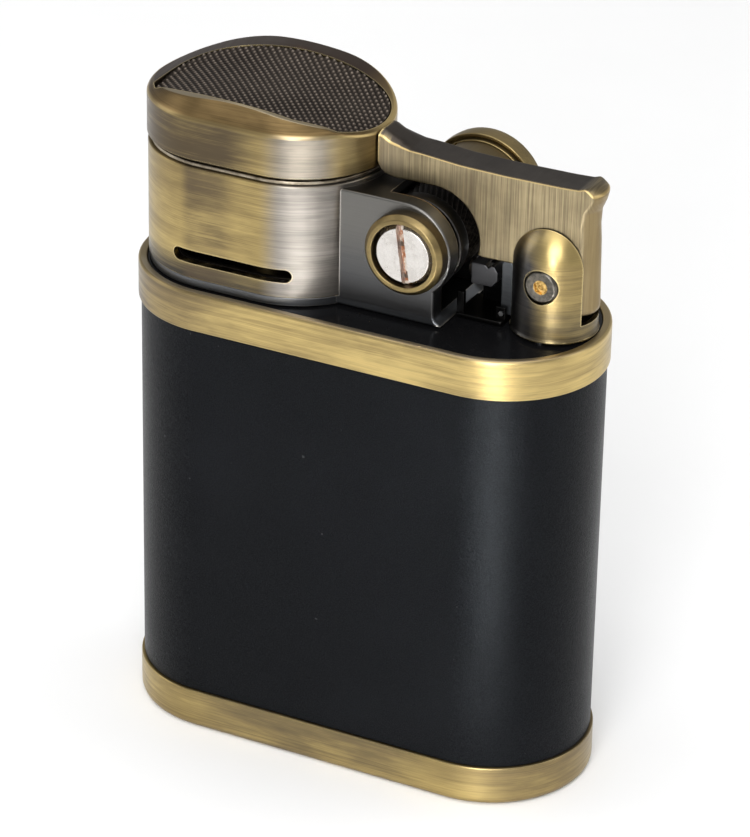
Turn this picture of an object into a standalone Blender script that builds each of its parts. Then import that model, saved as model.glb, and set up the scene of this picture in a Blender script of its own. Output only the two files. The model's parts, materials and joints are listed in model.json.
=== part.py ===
"""Lift-arm petrol lighter with a side striker wheel.

Sizes are millimetres; add_object() turns them into metres. +X points from the chimney towards
the arm's thumb lip, +Y to the back where the thumb wheel stands out, +Z up. The origin is the
centre of the flat underside.
"""
import math

import bmesh
import bpy
from mathutils import Matrix

MM = 0.001
GAP = 0.15                      # clearance between fixed neighbours

# Case: a stadium in plan, two round ends joined by straight sides.
CASE_END_X = 12.5               # centre of each round end
CASE_R = 9.0                    # wrap, half the case's depth
BAND_R = 9.25                   # bands stand proud of the wrap
TANK_R = 8.2
CASE_INNER_R = TANK_R + 0.2     # inside of the wrap and bands
BASE_TOP = 3.74
BAND_BOTTOM = 39.76
BAND_TOP = 43.4
DECK_TOP = 43.2
DECK_BOTTOM = 42.3
FLOOR_T = 1.2
PLATE_BOTTOM = DECK_TOP + GAP   # underside of everything that stands on the deck

# Chimney and its cap
CHIMNEY_LEFT_X = -12.75
CHIMNEY_RIGHT_X = -7.1
CHIMNEY_R = 8.1
CHIMNEY_WALL = 0.7
CHIMNEY_TOP = 54.5
FLANGE_TOP = 44.1
LINER_R = 7.2
LINER_TOP = 54.95
SLOT_X = (-15.2, -3.9)
SLOT_Z = 46.15
SLOT_H = 1.2
CAP_LEFT_X = -12.85
CAP_RIGHT_X = -6.95
CAP_BOTTOM = 55.13
CAP_MID_X = -10.9
CAP_CROWN = 60.88
CAP_ARCH_R = 28.5
CAP_LEAN = 0.6                  # how much lower the arched top is at the front edge
CAP_LEAN_X = -11.5
CAP_WALL = 0.9
CAP_ROOF = 1.9
FACET_EDGE_Z = 59.0             # where the sloping front facet starts on the wall
FACET_SLOPE = 0.75
PANEL_PEAK_X = -8.2             # widest point of the inlaid leaf-shaped panel
PANEL_LEFT = 11.0               # its lengths to the left and right of there
PANEL_RIGHT = 8.95
PANEL_BACK = 6.0
PANEL_FRONT = -6.05
PANEL_DEPTH = (1.0, 0.9, 0.33)  # below the top: recess, underside and surface of the panel
WICK_X = -10.0

# Striker, its frame and its axle
AXLE = (5.9, 49.9)              # x, z
EAR_Y = 5.0
EAR_T = 1.6
EAR_ARC = (5.3, 49.7, 4.4)      # x, z, radius
FRAME_TOP = 54.1
POCKET_X = 3.3
BUSH_R = 3.2
BOSS_R = 3.65
AXLE_R = 1.3
WHEEL_R = 3.9
WHEEL_HALF = 1.6
WHEEL_TEETH = 36
CHEEK_R = 4.0
THUMB_R = 5.25
THUMB_Y = (8.95, 11.0)

# Arm and its post
PIVOT = (17.4, 48.5)            # x, z
POST_X = 17.24
POST_R = 3.7
POST_RIM_TOP = 44.9
POST_RIM_T = 0.4
POST_FLOOR_TOP = 43.7
POST_TOP = 53.03
ARM_HALF = 1.65
SLOT_HALF = 1.8
HUB_R = 2.4
TONGUE_Z = (56.2, 57.4)

# Flint feed
FLINT_Z = 47.25
LEVER_PIVOT = (12.95, 44.2)     # x, z
LEVER_HALF = 0.9
HOLDER_HALF = 1.3

FILLER_X = 8.0
FRAME_SCREW_X = (-16.6, -3.6)
POST_SCREW_Y = 2.75


def clear_scene():
    for obj in list(bpy.data.objects):
        bpy.data.objects.remove(obj, do_unlink=True)


def make_material(name, colour, roughness, metallic):
    material = bpy.data.materials.new(name)
    material.use_nodes = True
    shader = material.node_tree.nodes["Principled BSDF"]
    shader.inputs["Base Color"].default_value = (*colour, 1.0)
    shader.inputs["Roughness"].default_value = roughness
    shader.inputs["Metallic"].default_value = metallic
    return material


FINISHES = {
    "brass": ((0.42, 0.32, 0.15), 0.32, 1.0),
    "gunmetal": ((0.10, 0.10, 0.11), 0.35, 1.0),
    "wrap": ((0.012, 0.012, 0.014), 0.45, 0.0),
    "enamel": ((0.010, 0.010, 0.011), 0.12, 0.0),
    "steel": ((0.55, 0.54, 0.52), 0.30, 1.0),
    "cotton": ((0.80, 0.78, 0.72), 0.95, 0.0),
    "rubber": ((0.02, 0.02, 0.02), 0.70, 0.0),
    "flint": ((0.16, 0.15, 0.15), 0.55, 0.4),
}


def add_object(name, bm, finish):
    """Close, orient and scale a mesh, then place it in the scene with its own material."""
    bmesh.ops.remove_doubles(bm, verts=bm.verts, dist=1e-5)
    bmesh.ops.recalc_face_normals(bm, faces=bm.faces)
    bmesh.ops.scale(bm, vec=(MM, MM, MM), verts=bm.verts)
    mesh = bpy.data.meshes.new(name)
    bm.to_mesh(mesh)
    bm.free()
    obj = bpy.data.objects.new(name, mesh)
    bpy.context.scene.collection.objects.link(obj)
    if finish:
        mesh.materials.append(make_material(name, *FINISHES[finish]))
        mesh.shade_smooth()
        mesh.set_sharp_from_angle(angle=math.radians(35))
    return obj


def combine(obj, bm, operation="DIFFERENCE"):
    """Cut obj by, join it to, or keep what it shares with a hidden tool made from bm."""
    tool = add_object(f"{obj.name}_tool_{len(obj.modifiers) + 1}", bm, None)
    tool.hide_render = True
    tool.display_type = "WIRE"
    boolean = obj.modifiers.new("shape", "BOOLEAN")
    boolean.operation = operation
    boolean.solver = "EXACT"
    boolean.object = tool


def joint_empty(name, location):
    empty = bpy.data.objects.new(name, None)
    empty.location = [v * MM for v in location]
    empty.empty_display_size = 0.005
    bpy.context.scene.collection.objects.link(empty)
    return empty


def hang_on(empty, pieces):
    for piece in pieces:
        piece.parent = empty
        piece.matrix_parent_inverse = Matrix.Translation(-empty.location)


def arc(cx, cy, radius, start, end, steps):
    """Points on a circle from one angle to another, in degrees."""
    points = []
    for k in range(steps + 1):
        angle = math.radians(start + (end - start) * k / steps)
        points.append((cx + radius * math.cos(angle), cy + radius * math.sin(angle)))
    return points


def stadium(left_x, right_x, radius, steps=20):
    return arc(right_x, 0, radius, -90, 90, steps) + arc(left_x, 0, radius, 90, 270, steps)


def loft(rings, closed=False):
    """Skin between rings of equal length, capped at both ends or closed on itself."""
    bm = bmesh.new()
    loops = [[bm.verts.new(point) for point in ring] for ring in rings]
    pairs = list(zip(loops, loops[1:]))
    if closed:
        pairs.append((loops[-1], loops[0]))
    for lower, upper in pairs:
        count = len(lower)
        for i in range(count):
            j = (i + 1) % count
            bm.faces.new((lower[i], lower[j], upper[j], upper[i]))
    if not closed:
        bm.faces.new(loops[0])
        bm.faces.new(loops[-1])
    return bm


def stadium_stack(left_x, right_x, levels, closed=False, steps=20):
    """A solid of stadium rings; levels holds (radius, z)."""
    rings = [[(x, y, z) for x, y in stadium(left_x, right_x, r, steps)] for r, z in levels]
    return loft(rings, closed)


def stadium_tube(left_x, right_x, outer, inner, bottom, top, steps=20):
    levels = ((outer, bottom), (outer, top), (inner, top), (inner, bottom))
    return stadium_stack(left_x, right_x, levels, True, steps)


def turned(profile, centre, axis, steps=28, closed=False):
    """Revolve (radius, position along the axis) about an axis through centre."""
    rings = []
    for radius, along in profile:
        ring = []
        for u, v in arc(0, 0, radius, 0, 360, steps)[:-1]:
            offset = {"X": (along, u, v), "Y": (u, along, v), "Z": (u, v, along)}[axis]
            ring.append([c + o for c, o in zip(centre, offset)])
        rings.append(ring)
    return loft(rings, closed)


def rod(radius, start, end, centre, axis, steps=20):
    return turned(((radius, start), (radius, end)), centre, axis, steps)


def tube(outer, inner, start, end, centre, axis, steps=28):
    profile = ((outer, start), (outer, end), (inner, end), (inner, start))
    return turned(profile, centre, axis, steps, True)


def side_plate(outline, y_start, y_end):
    """Extrude an (x, z) outline along Y."""
    return loft([[(x, y, z) for x, z in outline] for y in (y_start, y_end)])


def floor_plate(outline, z_start, z_end):
    """Extrude an (x, y) outline along Z."""
    return loft([[(x, y, z) for x, y in outline] for z in (z_start, z_end)])


def box(low, high):
    corners = [(low[0], low[1]), (high[0], low[1]), (high[0], high[1]), (low[0], high[1])]
    return floor_plate(corners, low[2], high[2])


def columns(xs, y_low, y_high, z_low, z_high):
    """A solid between two sides given by x and two surfaces given by x and y."""
    rings = []
    for x in xs:
        front, back = y_low(x), y_high(x)
        rings.append([(x, front, z_low(x, front)), (x, back, z_low(x, back)),
                      (x, back, z_high(x, back)), (x, front, z_high(x, front))])
    return loft(rings)


def eased(start, end, steps):
    """Values that crowd towards both ends, as round ends need."""
    middle, half = (start + end) / 2, (end - start) / 2
    return [middle - half * math.cos(math.pi * k / steps) for k in range(steps + 1)]


def socket_head(name, radius, head, shank_radius, shank_end, centre, axis, finish):
    """A plain screw: a head from head[0] to head[1], then a shank to shank_end."""
    edge = 0.12 * math.copysign(1, head[1] - head[0])
    profile = (
        (radius - abs(edge), head[0]), (radius, head[0] + edge), (radius, head[1]),
        (shank_radius, head[1]), (shank_radius, shank_end),
    )
    return add_object(name, turned(profile, centre, axis, 24), finish)


# ---------------------------------------------------------------- case

def build_base_cup():
    levels = (
        (BAND_R - 0.75, 0.0), (BAND_R - 0.3, 0.14), (BAND_R - 0.08, 0.5), (BAND_R, 1.0),
        (BAND_R, BASE_TOP - 0.3), (BAND_R - 0.12, BASE_TOP), (CASE_INNER_R, BASE_TOP),
        (CASE_INNER_R, FLOOR_T),
    )
    cup = add_object("base_cup", stadium_stack(-CASE_END_X, CASE_END_X, levels), "brass")
    combine(cup, rod(4.2, -1, FLOOR_T + 1, (FILLER_X, 0, 0), "Z", 32))


def build_tank():
    bottom = FLOOR_T + GAP
    levels = (
        (TANK_R, bottom), (TANK_R, DECK_BOTTOM - GAP), (TANK_R - 0.5, DECK_BOTTOM - GAP),
        (TANK_R - 0.5, bottom + 0.7),
    )
    tank = add_object("tank_shell", stadium_stack(-CASE_END_X, CASE_END_X, levels), "steel")
    combine(tank, rod(3.4, 0, 3, (FILLER_X, 0, 0), "Z", 32))

    filling = stadium_stack(-CASE_END_X, CASE_END_X, ((TANK_R - 0.9, 6.0), (TANK_R - 0.9, 36.0)))
    add_object("fuel_wadding", filling, "cotton")


def build_sleeve_and_band():
    sleeve = stadium_tube(-CASE_END_X, CASE_END_X, CASE_R, CASE_INNER_R,
                          BASE_TOP + GAP, BAND_BOTTOM - GAP)
    add_object("body_sleeve", sleeve, "wrap")

    levels = (
        (BAND_R, BAND_BOTTOM), (BAND_R, BAND_TOP - 0.45), (BAND_R - 0.12, BAND_TOP - 0.15),
        (BAND_R - 0.4, BAND_TOP), (CASE_INNER_R, BAND_TOP), (CASE_INNER_R, BAND_BOTTOM),
    )
    add_object("top_band", stadium_stack(-CASE_END_X, CASE_END_X, levels, True), "brass")


def build_deck():
    levels = ((TANK_R, DECK_BOTTOM), (TANK_R, DECK_TOP))
    deck = add_object("deck_plate", stadium_stack(-CASE_END_X, CASE_END_X, levels), "enamel")
    holes = [(WICK_X, 0, 2.45)]
    holes += [(x, 0, 0.8) for x in FRAME_SCREW_X]
    holes += [(POST_X, side * POST_SCREW_Y, 0.7) for side in (-1, 1)]
    for x, y, radius in holes:
        combine(deck, rod(radius, DECK_BOTTOM - 1, DECK_TOP + 1, (x, y, 0), "Z"))


def build_filler():
    centre = (FILLER_X, 0, 0)
    profile = ((3.6, 0.25), (3.9, 0.45), (3.9, 1.0), (3.1, 1.0), (3.1, 4.8), (2.9, 5.0))
    plug = add_object("filler_plug", turned(profile, centre, "Z", 32), "brass")
    combine(plug, box((FILLER_X - 4.5, -0.45, -0.5), (FILLER_X + 4.5, 0.45, 0.75)))
    gasket = add_object("filler_gasket", tube(3.85, 3.25, 1.1, 1.28, centre, "Z", 32), "rubber")
    hang_on(joint_empty("filler_axis", (FILLER_X, 0, 1.0)), [plug, gasket])


# ---------------------------------------------------------------- chimney

def build_wick():
    centre = (WICK_X, 0, 0)
    add_object("wick_tube", tube(2.2, 1.7, 40.0, 50.0, centre, "Z"), "brass")
    add_object("wick", rod(1.5, 36.2, 52.0, centre, "Z", 24), "cotton")


def air_slot(side):
    """A round-ended cutter through one long side of the chimney and its liner."""
    half = SLOT_H / 2
    outline = arc(SLOT_X[1] - half, SLOT_Z, half, -90, 90, 8)
    outline += arc(SLOT_X[0] + half, SLOT_Z, half, 90, 270, 8)
    return side_plate(outline, side * 4.6, side * 9.5)


def build_chimney():
    bottom = FLANGE_TOP + GAP
    wall = stadium_tube(CHIMNEY_LEFT_X, CHIMNEY_RIGHT_X, CHIMNEY_R, CHIMNEY_R - CHIMNEY_WALL,
                        bottom, CHIMNEY_TOP)
    chimney = add_object("chimney", wall, "brass")
    inner = stadium_tube(CHIMNEY_LEFT_X, CHIMNEY_RIGHT_X, LINER_R, LINER_R - 0.4,
                         bottom, LINER_TOP)
    liner = add_object("chimney_liner", inner, "brass")
    for side in (-1, 1):
        combine(chimney, air_slot(side))
        combine(liner, air_slot(side))


# ---------------------------------------------------------------- cap

def arch_z(x):
    """Height of the cap's arched top along its back edge."""
    return CAP_CROWN - (x - CAP_MID_X) ** 2 / (2 * CAP_ARCH_R)


def top_z(x, y):
    """Height of the cap's top, which leans a little towards the front."""
    lean = CAP_LEAN * max(1 - ((x - CAP_LEAN_X) / 9.5) ** 2, 0.0)
    return arch_z(x) - lean * (CHIMNEY_R - y) / (2 * CHIMNEY_R)


def end_round(x, radius):
    """Half width at x of a round-ended outline around the cap's two end centres."""
    beyond = max(CAP_LEFT_X - x, x - CAP_RIGHT_X, 0.0)
    return math.sqrt(max(radius ** 2 - beyond ** 2, 0.0))


def capsule(radius, z_low, z_high, steps=40):
    xs = eased(CAP_LEFT_X - radius, CAP_RIGHT_X + radius, steps)
    return columns(xs, lambda x: -end_round(x, radius), lambda x: end_round(x, radius),
                   z_low, z_high)


def panel_solid(inset, z_low, z_high, steps=36):
    """The inlaid panel's leaf outline: a blunt oval at the back, nearly straight in front."""
    left, right = PANEL_LEFT - inset, PANEL_RIGHT - inset

    def front(x):
        bowed = PANEL_FRONT + 0.0115 * min(x - PANEL_PEAK_X, 0.0) ** 2
        rising = -6.3 + 0.32 * (x + 5.6)
        end = -end_round(x, (7.4 if x < PANEL_PEAK_X else 7.6) - inset)
        return max(bowed + inset, rising + inset, end)

    def back(x):
        along = (x - PANEL_PEAK_X) / (left if x < PANEL_PEAK_X else right)
        rest = max(1 - abs(along) ** 2.2, 0.0) ** 0.171
        return max(PANEL_FRONT + (PANEL_BACK - inset - PANEL_FRONT) * rest, front(x) + 0.02)

    xs = eased(PANEL_PEAK_X - left + 0.01, PANEL_PEAK_X + right - 0.1, steps)
    return columns(xs, front, back, z_low, z_high)


def facet_cutter(steps=12):
    """Everything above the sloping facet, along the front half of the cap's outline."""
    outside, inside = 1.2, 4.0
    profile = (
        (CHIMNEY_R + outside, FACET_EDGE_Z - FACET_SLOPE * outside),
        (CHIMNEY_R + outside, FACET_EDGE_Z + FACET_SLOPE * inside),
        (CHIMNEY_R - inside, FACET_EDGE_Z + FACET_SLOPE * inside),
    )
    rings = []
    for centre_x, start in ((CAP_LEFT_X, 180), (CAP_RIGHT_X, 270)):
        for k in range(steps + 1):
            angle = math.radians(start + 90 * k / steps)
            rings.append([(centre_x + r * math.cos(angle), r * math.sin(angle), z)
                          for r, z in profile])
    return loft(rings)


def build_cap():
    recess, underside, surface = PANEL_DEPTH
    shell = add_object("cap_shell", capsule(CHIMNEY_R, lambda x, y: CAP_BOTTOM, top_z), "brass")
    combine(shell, capsule(CHIMNEY_R - CAP_WALL, lambda x, y: CAP_BOTTOM - 1,
                           lambda x, y: arch_z(x) - CAP_ROOF))
    combine(shell, facet_cutter())
    combine(shell, panel_solid(-0.12, lambda x, y: top_z(x, y) - recess,
                               lambda x, y: top_z(x, y) + 1.5))
    combine(shell, box((-1.6, -1.35, TONGUE_Z[0] - GAP), (1.6, 1.35, TONGUE_Z[1] + GAP)))
    combine(shell, rod(0.75, 57.5, 58.55, (-2.8, 0, 0), "Z"))

    panel = panel_solid(0.0, lambda x, y: top_z(x, y) - underside,
                        lambda x, y: top_z(x, y) - surface)
    inlay = add_object("cap_panel", panel, "gunmetal")

    centre = (WICK_X, 0, 0)
    profile = ((3.5, 49.2), (3.5, 57.8), (1.2, 57.8), (1.2, 58.8))
    cup = add_object("snuffer_cup", turned(profile, centre, "Z"), "brass")
    combine(cup, rod(2.9, 48.0, 57.2, centre, "Z", 28))
    seal = add_object("snuffer_seal", rod(2.75, 52.3, 57.05, centre, "Z", 28), "rubber")
    screw = socket_head("cap_screw", 1.1, (55.3, 56.05), 0.6, 58.4, (-2.8, 0, 0), "Z", "steel")
    return [shell, inlay, cup, seal, screw]


# ---------------------------------------------------------------- frame and striker

def build_frame():
    cx, cz, radius = EAR_ARC
    ear_x = 8.25
    start = math.degrees(math.asin((46.43 - cz) / radius))
    outline = [(-4.0, PLATE_BOTTOM), (8.75, PLATE_BOTTOM), (8.7, 43.6), (ear_x, 43.85)]
    outline += arc(cx, cz, radius, start, 90, 16) + [(-4.0, FRAME_TOP)]
    frame = add_object("top_frame", side_plate(outline, -EAR_Y, EAR_Y), "gunmetal")

    flange = ((CHIMNEY_R - 0.15, PLATE_BOTTOM), (CHIMNEY_R - 0.15, FLANGE_TOP))
    combine(frame, stadium_stack(CHIMNEY_LEFT_X, CHIMNEY_RIGHT_X, flange), "UNION")
    clearance = ((CHIMNEY_R + GAP, FLANGE_TOP + 0.02), (CHIMNEY_R + GAP, FRAME_TOP + 2))
    combine(frame, stadium_stack(CHIMNEY_LEFT_X, CHIMNEY_RIGHT_X, clearance))
    inner = EAR_Y - EAR_T
    combine(frame, box((POCKET_X, -inner, FLANGE_TOP), (14, inner, FRAME_TOP + 2)))
    axle = (AXLE[0], 0, AXLE[1])
    combine(frame, rod(CHEEK_R + 0.3, -inner, inner, axle, "Y", 40))
    combine(frame, rod(BUSH_R + GAP, -8, 8, axle, "Y", 32))
    combine(frame, rod(2.45, 42, 46, (WICK_X, 0, 0), "Z"))
    for x in FRAME_SCREW_X:
        combine(frame, rod(0.8, 42, 46, (x, 0, 0), "Z"))


def build_bushes():
    centre = (AXLE[0], 0, AXLE[1])
    face, seat, inner = EAR_Y + GAP, EAR_Y - 0.4, EAR_Y - EAR_T + 0.1
    front = (
        (2.9, -6.5), (3.3, -6.5), (BOSS_R, -6.2), (BOSS_R, -face), (BUSH_R, -face),
        (BUSH_R, -inner), (AXLE_R + 0.2, -inner), (AXLE_R + 0.2, -seat), (2.9, -seat),
    )
    add_object("front_bush", turned(front, centre, "Y", 36, True), "brass")
    rear = (
        (AXLE_R + 0.2, inner), (BUSH_R, inner), (BUSH_R, face), (4.6, face), (4.6, 7.5),
        (3.5, 8.0), (2.4, 8.4), (AXLE_R + 0.2, 8.5),
    )
    nut = add_object("rear_bush", turned(rear, centre, "Y", 36, True), "brass")
    combine(nut, box((AXLE[0] - 5, 7.7, AXLE[1] - 0.2), (AXLE[0] + 5, 9, AXLE[1] + 0.2)))


def build_striker():
    centre = (AXLE[0], 0, AXLE[1])
    head = (
        (2.4, -6.3), (2.75, -5.95), (2.75, -4.8), (AXLE_R, -4.8), (AXLE_R, 10.2), (1.1, 10.35),
    )
    screw = add_object("axle_screw", turned(head, centre, "Y", 32), "steel")
    slot = box((AXLE[0] - 0.4, -7, AXLE[1] - 4), (AXLE[0] + 0.4, -5.6, AXLE[1] + 4))
    combine(screw, slot)

    outline = []
    for k in range(2 * WHEEL_TEETH):
        outline.append(WHEEL_R if k % 2 else WHEEL_R - 0.32)
    rings = []
    for y in (-WHEEL_HALF, WHEEL_HALF):
        rings.append([ray_point(centre, r, k, len(outline), y) for k, r in enumerate(outline)])
    for y in (WHEEL_HALF, -WHEEL_HALF):
        rings.append([ray_point(centre, AXLE_R + 0.2, k, len(outline), y)
                      for k in range(len(outline))])
    wheel = add_object("flint_wheel", loft(rings, True), "flint")

    pieces = [screw, wheel]
    for name, side in (("wheel_cheek_front", -1), ("wheel_cheek_rear", 1)):
        profile = (
            (AXLE_R + 0.2, side * 1.75), (CHEEK_R - 0.1, side * 1.75), (CHEEK_R, side * 1.9),
            (CHEEK_R, side * 3.05), (CHEEK_R - 0.15, side * 3.2), (AXLE_R + 0.2, side * 3.2),
        )
        pieces.append(add_object(name, turned(profile, centre, "Y", 40, True), "gunmetal"))

    front, back = THUMB_Y
    rim = (
        (AXLE_R + 0.2, front + 0.7), (4.65, front + 0.7), (4.75, front), (THUMB_R - 0.15, front),
        (THUMB_R, front + 0.3), (THUMB_R - 0.1, back - 0.35), (THUMB_R - 0.5, back),
        (4.0, back), (3.8, back - 0.5), (AXLE_R + 0.2, back - 0.5),
    )
    pieces.append(add_object("thumb_wheel", turned(rim, centre, "Y", 48, True), "brass"))
    cover = ((3.5, back - 0.35), (3.5, back - 0.1), (3.2, back), (1.0, back))
    pieces.append(add_object("thumb_wheel_cap", turned(cover, centre, "Y", 36), "brass"))
    hang_on(joint_empty("striker_axis", centre), pieces)


def ray_point(centre, radius, index, count, y):
    angle = 2 * math.pi * index / count
    return (centre[0] + radius * math.cos(angle), y, centre[2] + radius * math.sin(angle))


# ---------------------------------------------------------------- post and arm

def build_post():
    levels = (
        (POST_R + 0.1, BAND_TOP + 0.1), (POST_R + 0.1, 43.6), (POST_R, 43.75), (POST_R, POST_TOP),
    )
    body = turned(levels, (POST_X, 0, 0), "Z", 48)
    post = add_object("arm_post", body, "brass")
    crown = arc(POST_X, 49.33, POST_R + 0.02, 0, 180, 24)
    outline = [(POST_X + 4.5, 42), (POST_X + 4.5, 49.33)] + crown
    outline += [(POST_X - 4.5, 49.33), (POST_X - 4.5, 42)]
    combine(post, side_plate(outline, -5, 5), "INTERSECT")

    combine(post, box((12, -SLOT_HALF, POST_RIM_TOP), (22.5, SLOT_HALF, 60)))
    inner = POST_R - POST_RIM_T
    reach = math.degrees(math.asin(SLOT_HALF / inner))
    well = arc(POST_X, 0, inner, -reach, reach, 8) + [(12, SLOT_HALF), (12, -SLOT_HALF)]
    combine(post, floor_plate(well, POST_FLOOR_TOP, POST_RIM_TOP + 0.5))
    combine(post, rod(1.15, -5, 5, (PIVOT[0], 0, PIVOT[1]), "Y"))
    combine(post, rod(1.75, -5, -3.15, (PIVOT[0], 0, PIVOT[1]), "Y", 28))
    for side in (-1, 1):
        combine(post, rod(0.7, 42, 46.3, (POST_X, side * POST_SCREW_Y, 0), "Z"))

    screw = ((1.4, -3.8), (1.55, -3.65), (1.55, -3.3), (0.95, -3.3), (0.95, 3.4))
    pivot = add_object("pivot_screw", turned(screw, (PIVOT[0], 0, PIVOT[1]), "Y", 24), "steel")
    combine(pivot, rod(0.7, -5, -3.35, (PIVOT[0], 0, PIVOT[1]), "Y", 6))
    spring = tube(2.3, 1.3, 1.05, 1.6, (PIVOT[0], 0, PIVOT[1]), "Y", 24)
    add_object("arm_spring", spring, "steel")
    for name, side in (("post_screw_front", -1), ("post_screw_rear", 1)):
        centre = (POST_X, side * POST_SCREW_Y, 0)
        socket_head(name, 1.0, (41.1, 42.1), 0.55, 46.0, centre, "Z", "steel")


def arm_outline():
    """Side view of the lift arm: top edge, thumb lip, leg, hub, then back under the wheel arc."""
    outline = [(1.3, 58.2), (1.8, 58.1), (3.2, 57.65), (5.1, 57.3), (8.8, 57.0)]
    outline += [(13.0, 56.93), (18.4, 57.0), (20.2, 57.25)]
    outline += arc(20.95, 56.95, 0.6, 105, -10, 6)
    outline += [(21.42, 55.97), (21.08, 55.0), (21.0, 53.6), (21.1, 52.2)]
    outline += arc(20.6, 46.1, 0.65, 0, -90, 5) + [(18.75, 45.45)]
    outline += arc(PIVOT[0], PIVOT[1], HUB_R, -62, -195, 14)
    outline += [(13.2, 49.12), (11.1, 49.0)]
    outline += arc(6.39, 50.19, 4.39, -13, 90, 14)
    outline += [(2.3, 54.55), (1.8, 54.7), (1.42, 55.1), (1.3, 55.55)]
    return outline


def build_arm():
    arm = add_object("lift_arm", side_plate(arm_outline(), -ARM_HALF, ARM_HALF), "brass")
    lip = arc(19.55, 0, 1, -90, 90, 16)
    plan = [(19.55 + (x - 19.55) * 2.05, y * (ARM_HALF + 0.05)) for x, y in lip]
    plan += [(-1, ARM_HALF + 0.05), (-1, -ARM_HALF - 0.05)]
    combine(arm, floor_plate(plan, 44, 60), "INTERSECT")
    combine(arm, box((-4.4, -1.2, TONGUE_Z[0]), (2.0, 1.2, TONGUE_Z[1])), "UNION")
    combine(arm, rod(1.15, -3, 3, (PIVOT[0], 0, PIVOT[1]), "Y"))
    combine(arm, rod(2.7, 0.95, 3, (PIVOT[0], 0, PIVOT[1]), "Y", 28))
    combine(arm, rod(0.75, 55.5, 58, (-2.8, 0, 0), "Z"))
    return arm


# ---------------------------------------------------------------- flint feed

def build_flint_feed():
    base = add_object("flint_bracket", box((9.0, -2.2, PLATE_BOTTOM), (13.35, 2.2, 43.7)),
                      "gunmetal")
    for side in (-1, 1):
        y_pair = sorted((side * 1.05, side * 1.5))
        lug = box((12.4, y_pair[0], 43.5), (13.35, y_pair[1], 44.75))
        combine(base, lug, "UNION")
    combine(base, box((9.2, 1.5, 43.5), (12.1, 2.0, 47.9)), "UNION")
    combine(base, box((9.05, -2.1, 43.5), (9.75, -1.65, 45.7)), "UNION")
    pin_axis = (LEVER_PIVOT[0], 0, LEVER_PIVOT[1])
    combine(base, rod(0.32, -3, 1.48, pin_axis, "Y", 16))
    add_object("lever_pin", rod(0.22, -1.6, 1.4, pin_axis, "Y", 16), "steel")

    outline = [(12.6, 43.85), (13.65, 43.85)] + arc(13.125, 48.4, 0.525, 0, 180, 10)
    lever = add_object("flint_lever", side_plate(outline, -LEVER_HALF, LEVER_HALF), "steel")
    combine(lever, rod(0.32, -3, 3, pin_axis, "Y", 16))
    outline = [(9.95, 46.3), (11.9, 46.3), (12.4, 46.9), (12.4, 47.7), (12.05, 48.2),
               (11.75, 48.2), (11.5, 47.95), (11.2, 48.2), (9.95, 48.2)]
    holder = add_object("flint_holder", side_plate(outline, -HOLDER_HALF, HOLDER_HALF), "steel")
    centre = (0, 0, FLINT_Z)
    combine(holder, rod(0.9, 9.0, 11.75, centre, "X"))
    flint = add_object("flint", rod(0.75, 9.5, 10.9, centre, "X"), "flint")
    spring = add_object("flint_spring", tube(0.7, 0.4, 11.0, 11.65, centre, "X", 16), "steel")
    hang_on(joint_empty("lever_axis", pin_axis), [lever, holder, flint, spring])


def build_frame_screws():
    for name, x in zip(("frame_screw_left", "frame_screw_right"), FRAME_SCREW_X):
        head = (45.0, FLANGE_TOP + GAP)
        socket_head(name, 1.2, head, 0.65, 41.0, (x, 0, 0), "Z", "steel")


def main():
    clear_scene()
    build_base_cup()
    build_tank()
    build_sleeve_and_band()
    build_deck()
    build_filler()
    build_wick()
    build_chimney()
    build_frame()
    build_bushes()
    build_striker()
    build_post()
    cap_pieces = build_cap()
    arm = build_arm()
    hang_on(joint_empty("arm_axis", (PIVOT[0], 0, PIVOT[1])), cap_pieces + [arm])
    build_flint_feed()
    build_frame_screws()


main()
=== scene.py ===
"""Looks of the lift-arm petrol lighter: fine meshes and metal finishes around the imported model.

Sizes here are millimetres; make() turns them into metres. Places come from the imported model's
boxes and joints. +X points to the thumb lip, +Y to the back, +Z up.
"""
import json
import math

import bmesh
import bpy
from mathutils import Matrix, Vector


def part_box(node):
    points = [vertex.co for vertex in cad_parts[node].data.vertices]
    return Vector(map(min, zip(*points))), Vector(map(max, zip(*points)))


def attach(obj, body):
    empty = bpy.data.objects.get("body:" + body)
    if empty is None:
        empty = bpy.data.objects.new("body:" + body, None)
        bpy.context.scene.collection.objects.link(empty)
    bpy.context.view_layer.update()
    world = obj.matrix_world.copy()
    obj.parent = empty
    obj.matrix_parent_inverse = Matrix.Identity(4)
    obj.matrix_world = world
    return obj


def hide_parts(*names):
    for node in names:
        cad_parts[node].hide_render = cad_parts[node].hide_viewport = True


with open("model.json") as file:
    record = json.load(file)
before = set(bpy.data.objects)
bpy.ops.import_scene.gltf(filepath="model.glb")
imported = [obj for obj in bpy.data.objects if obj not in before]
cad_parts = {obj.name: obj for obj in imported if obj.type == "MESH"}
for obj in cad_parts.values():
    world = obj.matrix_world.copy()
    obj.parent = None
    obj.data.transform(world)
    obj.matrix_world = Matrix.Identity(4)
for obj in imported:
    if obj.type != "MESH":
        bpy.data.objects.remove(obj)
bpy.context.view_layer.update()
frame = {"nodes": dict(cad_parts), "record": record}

MM = 0.001
STEPS = 72                      # segments on a half circle of the case
AXLE_BORE = 1.5                 # radius of the holes the axle screw runs in
EAR_BORE = 3.2                  # radius of the bushes inside the frame's ears
EAR_FACE = 4.98                 # y of the ears' outer faces, under the bushes' flanges
BRACKET_Z = 43.5                # underside of the flint bracket's uprights
SLOT_TILT = 8                   # degrees the front screw's slot leans from upright
PIN_BORE = 0.3                  # radius of the lever pin's hole


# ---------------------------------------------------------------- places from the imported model

def span(node):
    low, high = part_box(node)
    return low / MM, high / MM


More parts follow.
